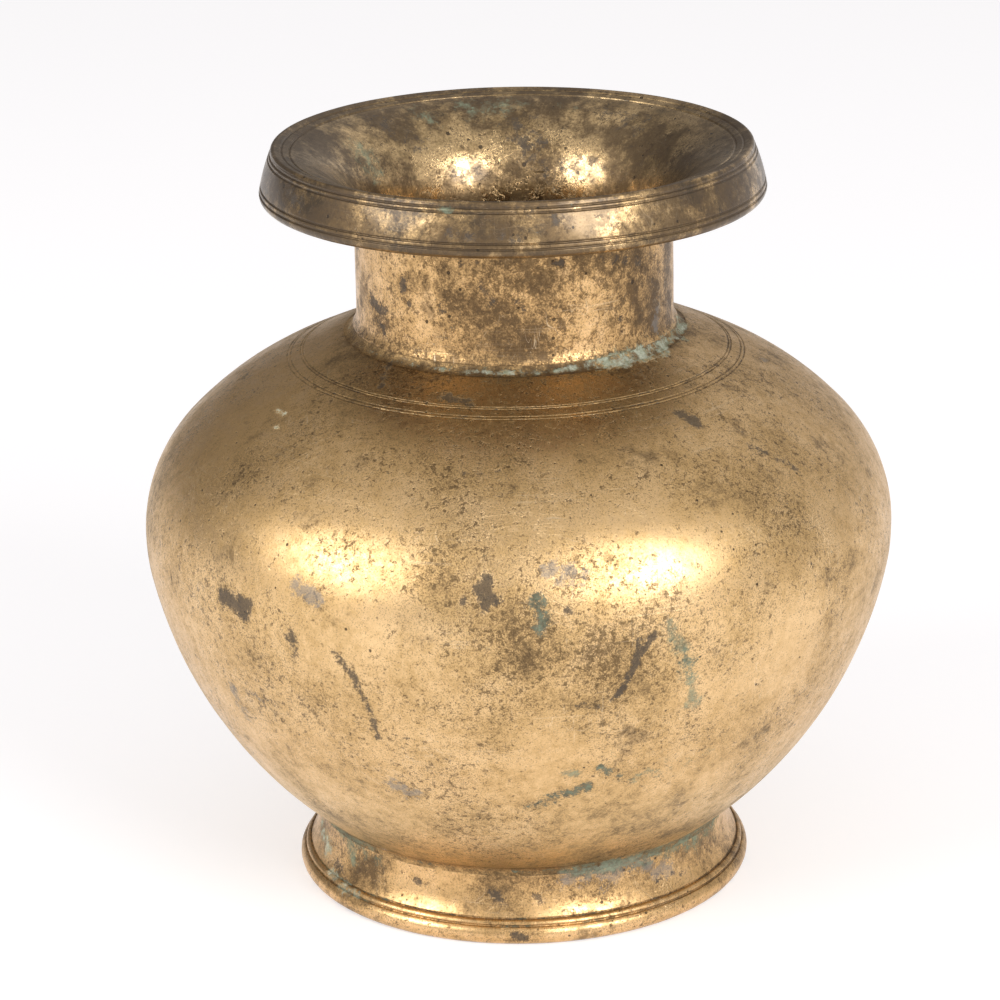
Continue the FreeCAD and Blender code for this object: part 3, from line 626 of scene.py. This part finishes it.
ledge = SEAM_BOTTOM - 6.0
add("lower_bowl", [
    (BELLY, SEAM_BOTTOM, None),
    (93.6, SEAM_BOTTOM, None),
    (93.6, ledge, None),
    (BILGE_C[0] + math.sqrt((BILGE - WALL) ** 2 - (SEAM_BOTTOM - ledge) ** 2), ledge,
     (BILGE - WALL, -1)),
    inward(BILGE_C, BILGE_E, BILGE) + ((FLANK - WALL, -1),),
    inward(FLANK_C, SEAT_O, FLANK) + (None,),
    (SEAT_I[0] - WALL * 0.45, SEAT_I[1] + WALL, (BOTTOM - WALL, -1)),
    (0.0, SEAT_I[1] - (BOTTOM - math.sqrt(BOTTOM ** 2 - SEAT_I[0] ** 2)) + WALL, None),
    (0.0, SEAT_I[1] - (BOTTOM - math.sqrt(BOTTOM ** 2 - SEAT_I[0] ** 2)), (BOTTOM, 1)),
    SEAT_I + (None,),
    SEAT_O + ((FLANK, 1),),
    BILGE_E + ((BILGE, 1),),
], 0.95, 540, (), 0.0, 0.09, lower_base)

add("belly_braze", [
    (BELLY, SEAM_BOTTOM, None),
    (BELLY, SEAM_TOP, None),
    (93.3, SEAM_TOP, None),
    (93.3, ledge + 0.3, None),
    (92.2, ledge + 0.3, None),
    (92.2, ledge, None),
    (93.6, ledge, None),
    (93.6, SEAM_BOTTOM, None),
], 0.5, 540, (), 0.0, 0.09, lambda co: masks(co, 0.36, 0.40))


# shoulder half of the body
def upper_base(co):
    r, z = np.hypot(co[:, 0], co[:, 1]), co[:, 2]
    top = smooth(z, 104, 142)
    lower_face = np.where(z > 136, 0, 0)
    rin = np.where(z < 117, HAUNCH_C[0] + np.sqrt(np.maximum((HAUNCH - 1.4) ** 2 - (z - 93.7) ** 2, 0)),
                   SHOULD_C[0] + np.sqrt(np.maximum((SHOULD - 1.4) ** 2 - (z - SHOULD_C[1]) ** 2, 0)))
    inside = ((r < rin) & (z < 136)) | ((z < on_top_array(r) - 1.4) & (z >= 136)) | (z < 93.6)
    return masks(co, 0.36 + 0.08 * top + 0.3 * inside, 0.40,
                 (), 0.5, [(rr, on_top(rr), 0.75) for rr in (53.5, 54.15, 56.65, 57.55)])


def on_top_array(r):
    return TOP_C[1] + np.sqrt(np.maximum(TOP ** 2 - (r - TOP_C[0]) ** 2, 0))


SHOULDER_LINES = [(rr, on_top(rr), 0.32, 0.11) for rr in (53.5, 54.15)] + \
                 [(rr, on_top(rr), 0.32, 0.09) for rr in (56.65, 57.55)]
hole_z = SEAT_Z - 4.3
add("upper_bowl", [
    (BELLY, SEAM_TOP, (HAUNCH, 1)),
    HAUNCH_E + ((SHOULD, 1),),
    SHOULD_E + ((TOP, 1),),
    (SEAT_R, SEAT_Z, None),
    (38.3, SEAT_Z, None),
    (38.3, hole_z, None),
    (45.0, hole_z, None),
    (46.0, TOP_C[1] + math.sqrt((TOP - WALL) ** 2 - (46.0 - TOP_C[0]) ** 2), (TOP - WALL, -1)),
    inward(SHOULD_C, SHOULD_E, SHOULD) + ((SHOULD - WALL, -1),),
    inward(HAUNCH_C, HAUNCH_E, HAUNCH) + ((HAUNCH - WALL, -1),),
    (92.2, SEAM_TOP, None),
    (92.2, ledge + 0.3, None),
    (93.3, ledge + 0.3, None),
    (93.3, SEAM_TOP, None),
], 0.95, 540, SHOULDER_LINES, 0.0, 0.09, upper_base)

add("neck_braze", [
    (40.8, SEAT_Z, None),
    (SEAT_R, SEAT_Z, (3.2, -1)),
    (40.8, 146.0, None),
], 0.28, 480, (), 0.0, 0.02, lambda co: masks(co, 0.66, 0.4), 0.05, 0.0012)


# neck
def neck_base(co):
    r = np.hypot(co[:, 0], co[:, 1])
    inside = smooth(38.2 - r, 0, 0.8)
    return masks(co, 0.50 + 0.14 * inside, 0.75 - 0.3 * inside, [(40.6, 146.5, 0.6)], 0.7)


add("neck_collar", [
    (NECK_R, NECK_TOP, None),
    (SPIGOT_R, NECK_TOP, None),
    (SPIGOT_R, SPIGOT_Z, None),
    (BORE_R, SPIGOT_Z, None),
    (BORE_R, SEAT_Z - 3.6, None),
    (38.3, SEAT_Z - 3.6, None),
    (38.3, SEAT_Z, None),
    (40.8, SEAT_Z, None),
    (40.8, 146.3, ((3.1 ** 2 + 0.95 ** 2) / 1.9, -1)),
    (NECK_R, 149.4, None),
], 0.6, 480, (), 0.12, 0.07, neck_base)

add("rim_braze", [
    (NECK_R, NECK_TOP, None),
    (NECK_R, 173.1, (1.9, -1)),
    (41.2, NECK_TOP, None),
], 0.3, 360, (), 0.0, 0.02, lambda co: masks(co, 0.7, 0.3), 0.03)

# mouth
FLARE_OUT = MOUTH - 3.0
face_c = arc_centre((63.05, 180.9), (59.95, 191.05), 55.0, 1)


def face_r(z):
    return face_c[0] + math.sqrt(55.0 ** 2 - (z - face_c[1]) ** 2)


def bevel_z(r):
    return 190.3 + (r - 54.43) * (191.75 - 190.3) / (58.8 - 54.43)


MOUTH_LINES = [(face_r(zz), zz, 0.42, dd) for zz, dd in
               ((190.35, 0.26), (189.3, 0.26), (182.35, 0.30), (181.05, 0.28))] + \
              [(rr, bevel_z(rr), 0.45, dd) for rr, dd in ((57.2, 0.24), (55.2, 0.34))]


def mouth_base(co):
    r, z = np.hypot(co[:, 0], co[:, 1]), co[:, 2]
    inside = (r < 54.6) & ((r - MOUTH_C[0]) ** 2 + (z - MOUTH_C[1]) ** 2 > (MOUTH - 1.2) ** 2)
    inner = smooth(inside.astype(float), 0, 1)
    deep = inner * smooth(184 - z, 0, 14)
    outside = smooth(r, 57.5, 59.5) * (1 - inner)
    return masks(co, 0.63 - 0.05 * inner - 0.10 * deep + 0.14 * outside,
                 0.30 + 0.30 * deep + 0.25 * outside,
                 [(59.5, 191.6, 0.8), (58.7, 191.8, 0.6), (54.6, 190.3, 0.55),
                  (face_r(189.8), 189.8, 0.6), (face_r(181.7), 181.7, 0.6),
                  (62.6, 179.2, 0.5), (face_r(188.7), 188.7, 0.35),
                  (face_r(183.0), 183.0, 0.35)], 0.7,
                 [(a, b, 0.8) for a, b, _, _ in MOUTH_LINES])


back_z = MOUTH_C[1] + math.sqrt(FLARE_OUT ** 2 - (MOUTH_C[0] - 56.2) ** 2)
add("mouth_rim", [
    (BORE_R, SPIGOT_Z, None),
    (SPIGOT_R, SPIGOT_Z, None),
    (SPIGOT_R, NECK_TOP, None),
    (MOUTH_C[0] - math.sqrt(FLARE_OUT ** 2 - (NECK_TOP - MOUTH_C[1]) ** 2), NECK_TOP,
     (FLARE_OUT, -1)),
    (56.2, back_z, (2.4, -1)),
    (58.9, 185.6, None),
    (60.0, 178.8, None),
    (62.2, 178.8, (2.0, 1)),
    (63.05, 180.9, (55.0, 1)),
    (59.95, 191.05, (0.85, 1)),
    (58.8, 191.75, None),
    (54.43, 190.3, (MOUTH, 1)),
], 0.6, 480, MOUTH_LINES, 0.3, 0.06, mouth_base)


# ---------------------------------------------------------------------------
# Materials: one shader per piece, everything procedural, lengths in mm
# ---------------------------------------------------------------------------
class Net:
    def __init__(self, name):
        self.material = bpy.data.materials.new(name)
        self.material.use_nodes = True
        self.tree = self.material.node_tree
        self.tree.nodes.clear()
        self.links = self.tree.links

    def node(self, kind, **props):
        n = self.tree.nodes.new(kind)
        for k, v in props.items():
            setattr(n, k, v)
        return n

    def put(self, socket, value):
        if isinstance(value, bpy.types.NodeSocket):
            self.links.new(value, socket)
        else:
            socket.default_value = value

    def math(self, op, a, b=0.0, c=0.0, clamp=False):
        n = self.node("ShaderNodeMath", operation=op, use_clamp=clamp)
        self.put(n.inputs[0], a)
        self.put(n.inputs[1], b)
        self.put(n.inputs[2], c)
        return n.outputs[0]

    def vmath(self, op, a, b):
        n = self.node("ShaderNodeVectorMath", operation=op)
        self.put(n.inputs[0], a)
        self.put(n.inputs[1], b)
        return n.outputs[0]

    def scale(self, a, s):
        n = self.node("ShaderNodeVectorMath", operation="SCALE")
        self.put(n.inputs[0], a)
        n.inputs["Scale"].default_value = s
        return n.outputs[0]

    def mapping(self, a, scale=(1, 1, 1), rotation=(0, 0, 0), location=(0, 0, 0)):
        n = self.node("ShaderNodeMapping")
        self.put(n.inputs["Vector"], a)
        n.inputs["Scale"].default_value = scale
        n.inputs["Rotation"].default_value = rotation
        n.inputs["Location"].default_value = location
        return n.outputs[0]

    def noise(self, vec, scale, detail=3.0, rough=0.55, distort=0.0):
        n = self.node("ShaderNodeTexNoise")
        self.put(n.inputs["Vector"], vec)
        n.inputs["Scale"].default_value = scale
        n.inputs["Detail"].default_value = detail
        n.inputs["Roughness"].default_value = rough
        n.inputs["Distortion"].default_value = distort
        return n.outputs[0]

    def cells(self, vec, scale, randomness=1.0):
        n = self.node("ShaderNodeTexVoronoi")
        self.put(n.inputs["Vector"], vec)
        n.inputs["Scale"].default_value = scale
        n.inputs["Randomness"].default_value = randomness
        return n.outputs["Distance"], n.outputs["Color"]

    def step(self, x, lo, hi, to_lo=0.0, to_hi=1.0):
        n = self.node("ShaderNodeMapRange", interpolation_type="SMOOTHSTEP")
        self.put(n.inputs["Value"], x)
        n.inputs["From Min"].default_value = lo
        n.inputs["From Max"].default_value = hi
        n.inputs["To Min"].default_value = to_lo
        n.inputs["To Max"].default_value = to_hi
        return n.outputs["Result"]

    def line(self, x, lo, hi, to_lo=0.0, to_hi=1.0):
        n = self.node("ShaderNodeMapRange", clamp=True)
        self.put(n.inputs["Value"], x)
        n.inputs["From Min"].default_value = lo
        n.inputs["From Max"].default_value = hi
        n.inputs["To Min"].default_value = to_lo
        n.inputs["To Max"].default_value = to_hi
        return n.outputs["Result"]

    def ramp(self, x, stops):
        n = self.node("ShaderNodeValToRGB")
        self.put(n.inputs[0], x)
        e = n.color_ramp.elements
        while len(e) < len(stops):
            e.new(0.5)
        for el, (pos, col) in zip(e, stops):
            el.position = pos
            el.color = (*col, 1.0)
        return n.outputs[0]

    def mix(self, f, a, b, mode="MIX"):
        n = self.node("ShaderNodeMix", data_type="RGBA", blend_type=mode, clamp_factor=True)
        self.put(n.inputs[0], f)
        self.put(n.inputs[6], a if isinstance(a, bpy.types.NodeSocket) else (*a, 1.0))
        self.put(n.inputs[7], b if isinstance(b, bpy.types.NodeSocket) else (*b, 1.0))
        return n.outputs[2]

    def fmix(self, f, a, b):
        n = self.node("ShaderNodeMix", data_type="FLOAT", clamp_factor=True)
        self.put(n.inputs[0], f)
        self.put(n.inputs[2], a)
        self.put(n.inputs[3], b)
        return n.outputs[0]

    def attr(self, name):
        n = self.node("ShaderNodeAttribute", attribute_type="GEOMETRY")
        n.attribute_name = name
        return n.outputs["Fac"]

    def bump(self, height, distance, strength=1.0, normal=None):
        n = self.node("ShaderNodeBump")
        self.put(n.inputs["Height"], height)
        n.inputs["Distance"].default_value = distance
        n.inputs["Strength"].default_value = strength
        if normal is not None:
            self.put(n.inputs["Normal"], normal)
        return n.outputs["Normal"]


def old_brass(name, seed=0.0, speckle=0.5, speck_size=1.0, blotch=0.5, rough=0.34,
              contrast=1.0, bright=(0.83, 0.580, 0.320), mid=(0.60, 0.402, 0.192),
              deep=(0.155, 0.102, 0.050), coat=0.0, coat_rough=0.2, detail=1.0, scratch=1.0):
    n = Net(name)
    coord = n.node("ShaderNodeTexCoord").outputs["Object"]
    mm = n.scale(coord, 1000.0)
    p = n.mapping(mm, location=(seed, seed * 0.37, -seed * 0.61))
    split = n.node("ShaderNodeSeparateXYZ")
    n.put(split.inputs[0], mm)
    turn = n.math("ARCTAN2", split.outputs[1], split.outputs[0])
    cyl = n.node("ShaderNodeCombineXYZ")
    n.put(cyl.inputs[0], n.math("MULTIPLY", turn, 9.0))
    n.put(cyl.inputs[1], split.outputs[2])
    around = cyl.outputs[0]

    tarnish, warm, wear_and_painted_highlight = n.attr("tarnish"), n.attr("warm"), n.attr("wear_and_painted_highlight")
    brown_and_painted_shade = n.attr("brown_and_painted_shade")
    cloud = n.noise(p, 0.020, 4.0, 0.55, 0.1)
    mott = n.noise(p, 0.085, 6.0, 0.62, 0.15)
    freck = n.noise(p, 0.42, 5.0, 0.68)
    fine = n.noise(p, 1.9, 4.0, 0.70)
    grain = n.noise(p, 6.5, 2.0, 0.6)

    # how tarnished each point is, with painted shade added on the front of the neck and painted highlights taken
    # off
    t = n.math("MULTIPLY_ADD", n.math("SUBTRACT", cloud, 0.5), 0.95 * contrast, tarnish)
    t = n.math("MULTIPLY_ADD", n.math("SUBTRACT", mott, 0.5), 1.30 * contrast, t)
    t = n.math("MULTIPLY_ADD", n.math("SUBTRACT", freck, 0.5), 0.95 * contrast * detail, t)
    t = n.math("MULTIPLY_ADD", n.math("SUBTRACT", fine, 0.5), 0.90 * detail, t)
    # brown patches, and on the front of the neck also painted shade
    t = n.math("MULTIPLY_ADD", brown_and_painted_shade, 0.36, t)
    # less tarnish on rubbed edges and at painted highlights
    t = n.math("MULTIPLY_ADD", wear_and_painted_highlight, -0.42, t, clamp=True)
    base = n.ramp(t, [(0.0, bright), (0.30, tuple(0.55 * b + 0.45 * m for b, m in zip(bright, mid))),
                      (0.58, mid), (0.80, tuple(0.45 * b + 0.55 * m for b, m in zip(mid, deep))),
                      (1.0, deep)])
    tint = n.mix(warm, (0.97, 1.0, 0.95), (1.05, 0.965, 0.88))
    base = n.mix(1.0, base, tint, "MULTIPLY")
    rough_t = n.line(t, 0.0, 1.0, rough - 0.05, rough + 0.16)
    rough_t = n.math("MULTIPLY_ADD", n.math("SUBTRACT", freck, 0.5), 0.16, rough_t)
    metal = n.line(t, 0.55, 1.0, 1.0, 0.82)

    # broad dark blotches with broken edges
    wide = n.noise(n.mapping(p, location=(71.0, 13.0, 5.0)), 0.075, 8.0, 0.74, 0.1)
    blot = n.step(n.math("MULTIPLY_ADD", tarnish, 0.16, wide),
                  0.680 - 0.11 * blotch, 0.780 - 0.08 * blotch)
    base = n.mix(n.math("MULTIPLY", blot, min(0.62 + 0.25 * max(blotch - 0.7, 0.0), 0.85)), base,
                 (0.100, 0.066, 0.036))
    rough_t = n.fmix(n.math("MULTIPLY", blot, 0.6), rough_t, 0.52)

    # dense fine dark speckle, thicker in some places than in others
    dens = n.noise(n.mapping(p, location=(-31.0, 8.0, 44.0)), 0.030, 3.0, 0.6)
    speck_n = n.noise(n.mapping(p, location=(5.0, 91.0, 17.0)), 0.62 / speck_size, 5.0, 0.78)
    dens = n.math("MULTIPLY_ADD", brown_and_painted_shade, 0.22, dens)
    limit = n.math("MULTIPLY_ADD", dens, 0.34, speck_n)
    speck = n.step(limit, 0.800 - 0.10 * speckle, 0.875 - 0.08 * speckle)
    base = n.mix(n.math("MULTIPLY", speck, 0.72), base, (0.085, 0.055, 0.030))
    tiny_n = n.noise(n.mapping(p, location=(15.0, -9.0, 3.0)), 2.4 / speck_size, 3.0, 0.72)
    tiny = n.step(n.math("MULTIPLY_ADD", dens, 0.30, tiny_n), 0.745 - 0.08 * speckle, 0.81 - 0.06 * speckle)
    base = n.mix(n.math("MULTIPLY", tiny, 0.60), base, (0.13, 0.080, 0.038))
    # round pits
    dist, hue = n.cells(n.mapping(p, location=(2.0, 3.0, 4.0)), 0.36)
    hue_r = n.node("ShaderNodeSeparateColor")
    n.put(hue_r.inputs[0], hue)
    size = n.line(hue_r.outputs[0], 0.68, 1.0, 0.0, 0.17 * speck_size)
    pit = n.step(n.math("SUBTRACT", size, n.math("MULTIPLY_ADD", n.math("SUBTRACT", fine, 0.5), 0.08, dist)),
                 -0.012, 0.035)
    base = n.mix(n.math("MULTIPLY", pit, 0.85), base, (0.050, 0.036, 0.024))

    # scratches: long ones that run round, and crossed ones from cleaning
    s1 = n.noise(n.mapping(around, scale=(0.05, 1.15, 1.0), rotation=(0, 0, 0.03)), 1.0, 1.0, 0.5, 0.15)
    s1 = n.math("ABSOLUTE", n.math("SUBTRACT", s1, 0.5))
    s1 = n.step(s1, 0.0, 0.010, 1.0, 0.0)
    s2 = n.noise(n.mapping(p, scale=(0.65, 0.06, 0.07), rotation=(0.4, 0.7, 0.5)), 1.0, 1.0, 0.5, 0.2)
    s2 = n.step(n.math("ABSOLUTE", n.math("SUBTRACT", s2, 0.5)), 0.0, 0.0045, 1.0, 0.0)
    s3 = n.noise(n.mapping(p, scale=(0.05, 0.50, 0.06), rotation=(0.9, -0.5, 1.1)), 1.0, 1.0, 0.5, 0.2)
    s3 = n.step(n.math("ABSOLUTE", n.math("SUBTRACT", s3, 0.5)), 0.0, 0.0045, 1.0, 0.0)
    gate = n.step(n.noise(n.mapping(p, location=(3.3, 7.7, 1.1)), 0.055, 3.0, 0.6), 0.50, 0.60)
    scr = n.math("MULTIPLY", n.math("MAXIMUM", n.math("MAXIMUM", n.math("MULTIPLY", s1, 0.55), s2), s3), gate)
    base = n.mix(n.math("MULTIPLY", scr, 0.36 * scratch), base, (0.92, 0.74, 0.50))

    # the marks: soft areas that the noise breaks into clusters and ragged edges
    clump = n.noise(n.mapping(p, location=(9.0, 4.0, -7.0)), 0.34, 6.0, 0.72)
    edge = n.math("ADD", n.math("MULTIPLY", n.math("SUBTRACT", clump, 0.5), 2.3),
                  n.math("MULTIPLY", n.math("SUBTRACT", fine, 0.5), 0.9))
    grey = n.step(n.math("ADD", n.attr("grey"), edge), 0.46, 0.86)
    base = n.mix(n.math("MULTIPLY", grey, 0.60), base, n.mix(freck, (0.105, 0.095, 0.082), (0.33, 0.310, 0.29)))
    metal = n.fmix(grey, metal, 0.70)
    rough_t = n.fmix(grey, rough_t, 0.46)
    stain = n.step(n.math("ADD", n.attr("stain"), edge), 0.42, 0.78)
    base = n.mix(n.math("MULTIPLY", stain, 0.84), base, n.mix(freck, (0.030, 0.024, 0.020), (0.115, 0.086, 0.058)))
    metal = n.fmix(stain, metal, 0.62)
    rough_t = n.fmix(stain, rough_t, 0.44)
    green = n.step(n.math("ADD", n.attr("green"), edge), 0.40, 0.92)
    base = n.mix(n.math("MULTIPLY", green, 0.70), base,
                 n.mix(n.step(freck, 0.35, 0.65), (0.078, 0.090, 0.052), (0.225, 0.285, 0.190)))
    metal = n.fmix(green, metal, 0.25)
    rough_t = n.fmix(green, rough_t, 0.70)
    pale = n.step(n.math("ADD", n.attr("pale"), edge), 0.38, 0.95)
    base = n.mix(n.math("MULTIPLY", pale, 0.86), base,
                 n.mix(n.step(freck, 0.32, 0.66), (0.240, 0.275, 0.180), (0.58, 0.61, 0.49)))
    metal = n.fmix(pale, metal, 0.05)
    rough_t = n.fmix(pale, rough_t, 0.85)

    # relief
    h = n.math("MULTIPLY", mott, 0.45)
    h = n.math("MULTIPLY_ADD", freck, 0.30, h)
    h = n.math("MULTIPLY_ADD", pit, -0.9, h)
    h = n.math("MULTIPLY_ADD", speck, -0.22, h)
    h = n.math("MULTIPLY_ADD", scr, -0.10 * scratch, h)
    h = n.math("MULTIPLY_ADD", stain, -0.35, h)
    h = n.math("MULTIPLY_ADD", n.math("MULTIPLY", green, fine), 0.9, h)
    h = n.math("MULTIPLY_ADD", n.math("MULTIPLY", pale, fine), 1.4, h)
    normal = n.bump(h, 0.00016, 1.0)
    normal = n.bump(n.math("MULTIPLY_ADD", grain, 0.5, fine), 0.000020, 1.0, normal)

    shader = n.node("ShaderNodeBsdfPrincipled")
    n.put(shader.inputs["Base Color"], base)
    n.put(shader.inputs["Metallic"], metal)
    n.put(shader.inputs["Roughness"], rough_t)
    n.put(shader.inputs["Normal"], normal)
    shader.inputs["Coat Weight"].default_value = coat
    shader.inputs["Coat Roughness"].default_value = coat_rough
    out = n.node("ShaderNodeOutputMaterial")
    n.links.new(shader.outputs[0], out.inputs[0])
    return n.material


BODY = old_brass("body_brass", 0.0, 0.70, 0.9, 0.38, 0.35, 1.05)
SPELTER = old_brass("joint_spelter", 30.0, 0.7, 1.0, 0.6, 0.46)
LOOK = {
    "foot_ring": old_brass("foot_brass", 12.0, 0.62, 1.0, 0.50, 0.28, 1.1),
    "foot_braze": SPELTER,
    "lower_bowl": BODY,
    "belly_braze": BODY,
    "upper_bowl": BODY,
    "neck_braze": SPELTER,
    "neck_collar": old_brass("neck_brass", 47.0, 0.85, 1.2, 0.70, 0.30, 1.2),
    "rim_braze": SPELTER,
    "mouth_rim": old_brass("mouth_brass", 95.0, 0.85, 1.3, 1.45, 0.23, 1.55,
                           (0.82, 0.585, 0.320), (0.36, 0.248, 0.125), (0.072, 0.052, 0.032),
                           0.33, 0.15, 1.0, 0.3),
}
for obj, node in pieces:
    obj.data.materials.append(LOOK[node])

# ---------------------------------------------------------------------------
# Floor, light and camera
# ---------------------------------------------------------------------------
half = 9.0
plane = bpy.data.meshes.new("floor")
plane.from_pydata([(-half, -half, 0), (half, -half, 0), (half, half, 0), (-half, half, 0)],
                  [], [(0, 1, 2, 3)])
plane.update()
floor = bpy.data.objects.new("floor", plane)
bpy.context.scene.collection.objects.link(floor)
cloth = bpy.data.materials.new("floor_white")
cloth.use_nodes = True
skin = cloth.node_tree.nodes["Principled BSDF"]
skin.inputs["Base Color"].default_value = (0.58, 0.58, 0.592, 1)
skin.inputs["Roughness"].default_value = 0.75
skin.inputs["Emission Color"].default_value = (1.0, 0.985, 0.995, 1)
skin.inputs["Emission Strength"].default_value = 0.50
plane.materials.append(cloth)


def softbox(name, azimuth, elevation, distance, width, height, radiance, aim=(0, 0, 0.10),
            colour=(1, 1, 1)):
    a, e = math.radians(azimuth), math.radians(elevation)
    d = Vector((math.sin(a) * math.cos(e), -math.cos(a) * math.cos(e), math.sin(e)))
    lamp = bpy.data.lights.new(name, "AREA")
    lamp.shape = "ELLIPSE"
    lamp.size, lamp.size_y = width, height
    lamp.energy = radiance * math.pi * width * height * math.pi / 4
    lamp.color = colour
    o = bpy.data.objects.new(name, lamp)
    bpy.context.scene.collection.objects.link(o)
    o.location = Vector(aim) + d * distance
    o.rotation_euler = d.to_track_quat("Z", "Y").to_euler()
    return o


softbox("softbox_left", -57, 28, 1.7, 1.02, 0.86, 6.2)
softbox("softbox_right", 36, 28, 1.7, 0.84, 0.86, 9.6)

world = bpy.data.worlds.new("studio")
bpy.context.scene.world = world
world.use_nodes = True
wt = world.node_tree
wt.nodes.clear()
wc = wt.nodes.new("ShaderNodeTexCoord")
ws = wt.nodes.new("ShaderNodeSeparateXYZ")
wt.links.new(wc.outputs["Generated"], ws.inputs[0])
# brighter towards the front of the room, darker up and behind the pot
wm = wt.nodes.new("ShaderNodeMath")
wm.operation = "MULTIPLY_ADD"
wt.links.new(ws.outputs[1], wm.inputs[0])
wm.inputs[1].default_value = -0.5
wm.inputs[2].default_value = 0.5
wr = wt.nodes.new("ShaderNodeValToRGB")
wx = wt.nodes.new("ShaderNodeMath")
wx.operation = "MULTIPLY_ADD"
wt.links.new(ws.outputs[0], wx.inputs[0])
wx.inputs[1].default_value = 0.30
wt.links.new(wm.outputs[0], wx.inputs[2])
wt.links.new(wx.outputs[0], wr.inputs[0])
wr.color_ramp.elements[0].position = 0.0
wr.color_ramp.elements[0].color = (0.20, 0.19, 0.185, 1)
step = wr.color_ramp.elements.new(0.20)
step.color = (0.63, 0.61, 0.60, 1)
last = wr.color_ramp.elements[len(wr.color_ramp.elements) - 1]
last.position = 0.85
last.color = (0.69, 0.675, 0.665, 1)
wb = wt.nodes.new("ShaderNodeBackground")
wt.links.new(wr.outputs[0], wb.inputs[0])
wb.inputs[1].default_value = 1.0
wo = wt.nodes.new("ShaderNodeOutputWorld")
wt.links.new(wb.outputs[0], wo.inputs[0])

bpy.context.scene.view_settings.view_transform = "Standard"
bpy.context.scene.view_settings.look = "None"
bpy.context.scene.view_settings.exposure = 0.0
bpy.context.scene.view_settings.gamma = 1.0

pitch, yaw, roll = 0.33372075, -0.00503111, -0.01861803
fwd = Vector((math.sin(yaw) * math.cos(pitch), math.cos(yaw) * math.cos(pitch), -math.sin(pitch)))
right = fwd.cross(Vector((0, 0, 1))).normalized()
up = right.cross(fwd)
r2 = math.cos(roll) * right + math.sin(roll) * up
u2 = -math.sin(roll) * right + math.cos(roll) * up
lens = bpy.data.cameras.new("camera")
lens.sensor_fit = "HORIZONTAL"
lens.sensor_width = 36.0
lens.lens = 36.0 * 3829.167 / 1000.0
lens.clip_start, lens.clip_end = 0.05, 60.0
camera = bpy.data.objects.new("camera", lens)
bpy.context.scene.collection.objects.link(camera)
m = Matrix((
    (r2.x, u2.x, -fwd.x, 0.0),
    (r2.y, u2.y, -fwd.y, -0.924502),
    (r2.z, u2.z, -fwd.z, 0.4182515),
    (0, 0, 0, 1),
))
camera.matrix_world = m
bpy.context.scene.camera = camera
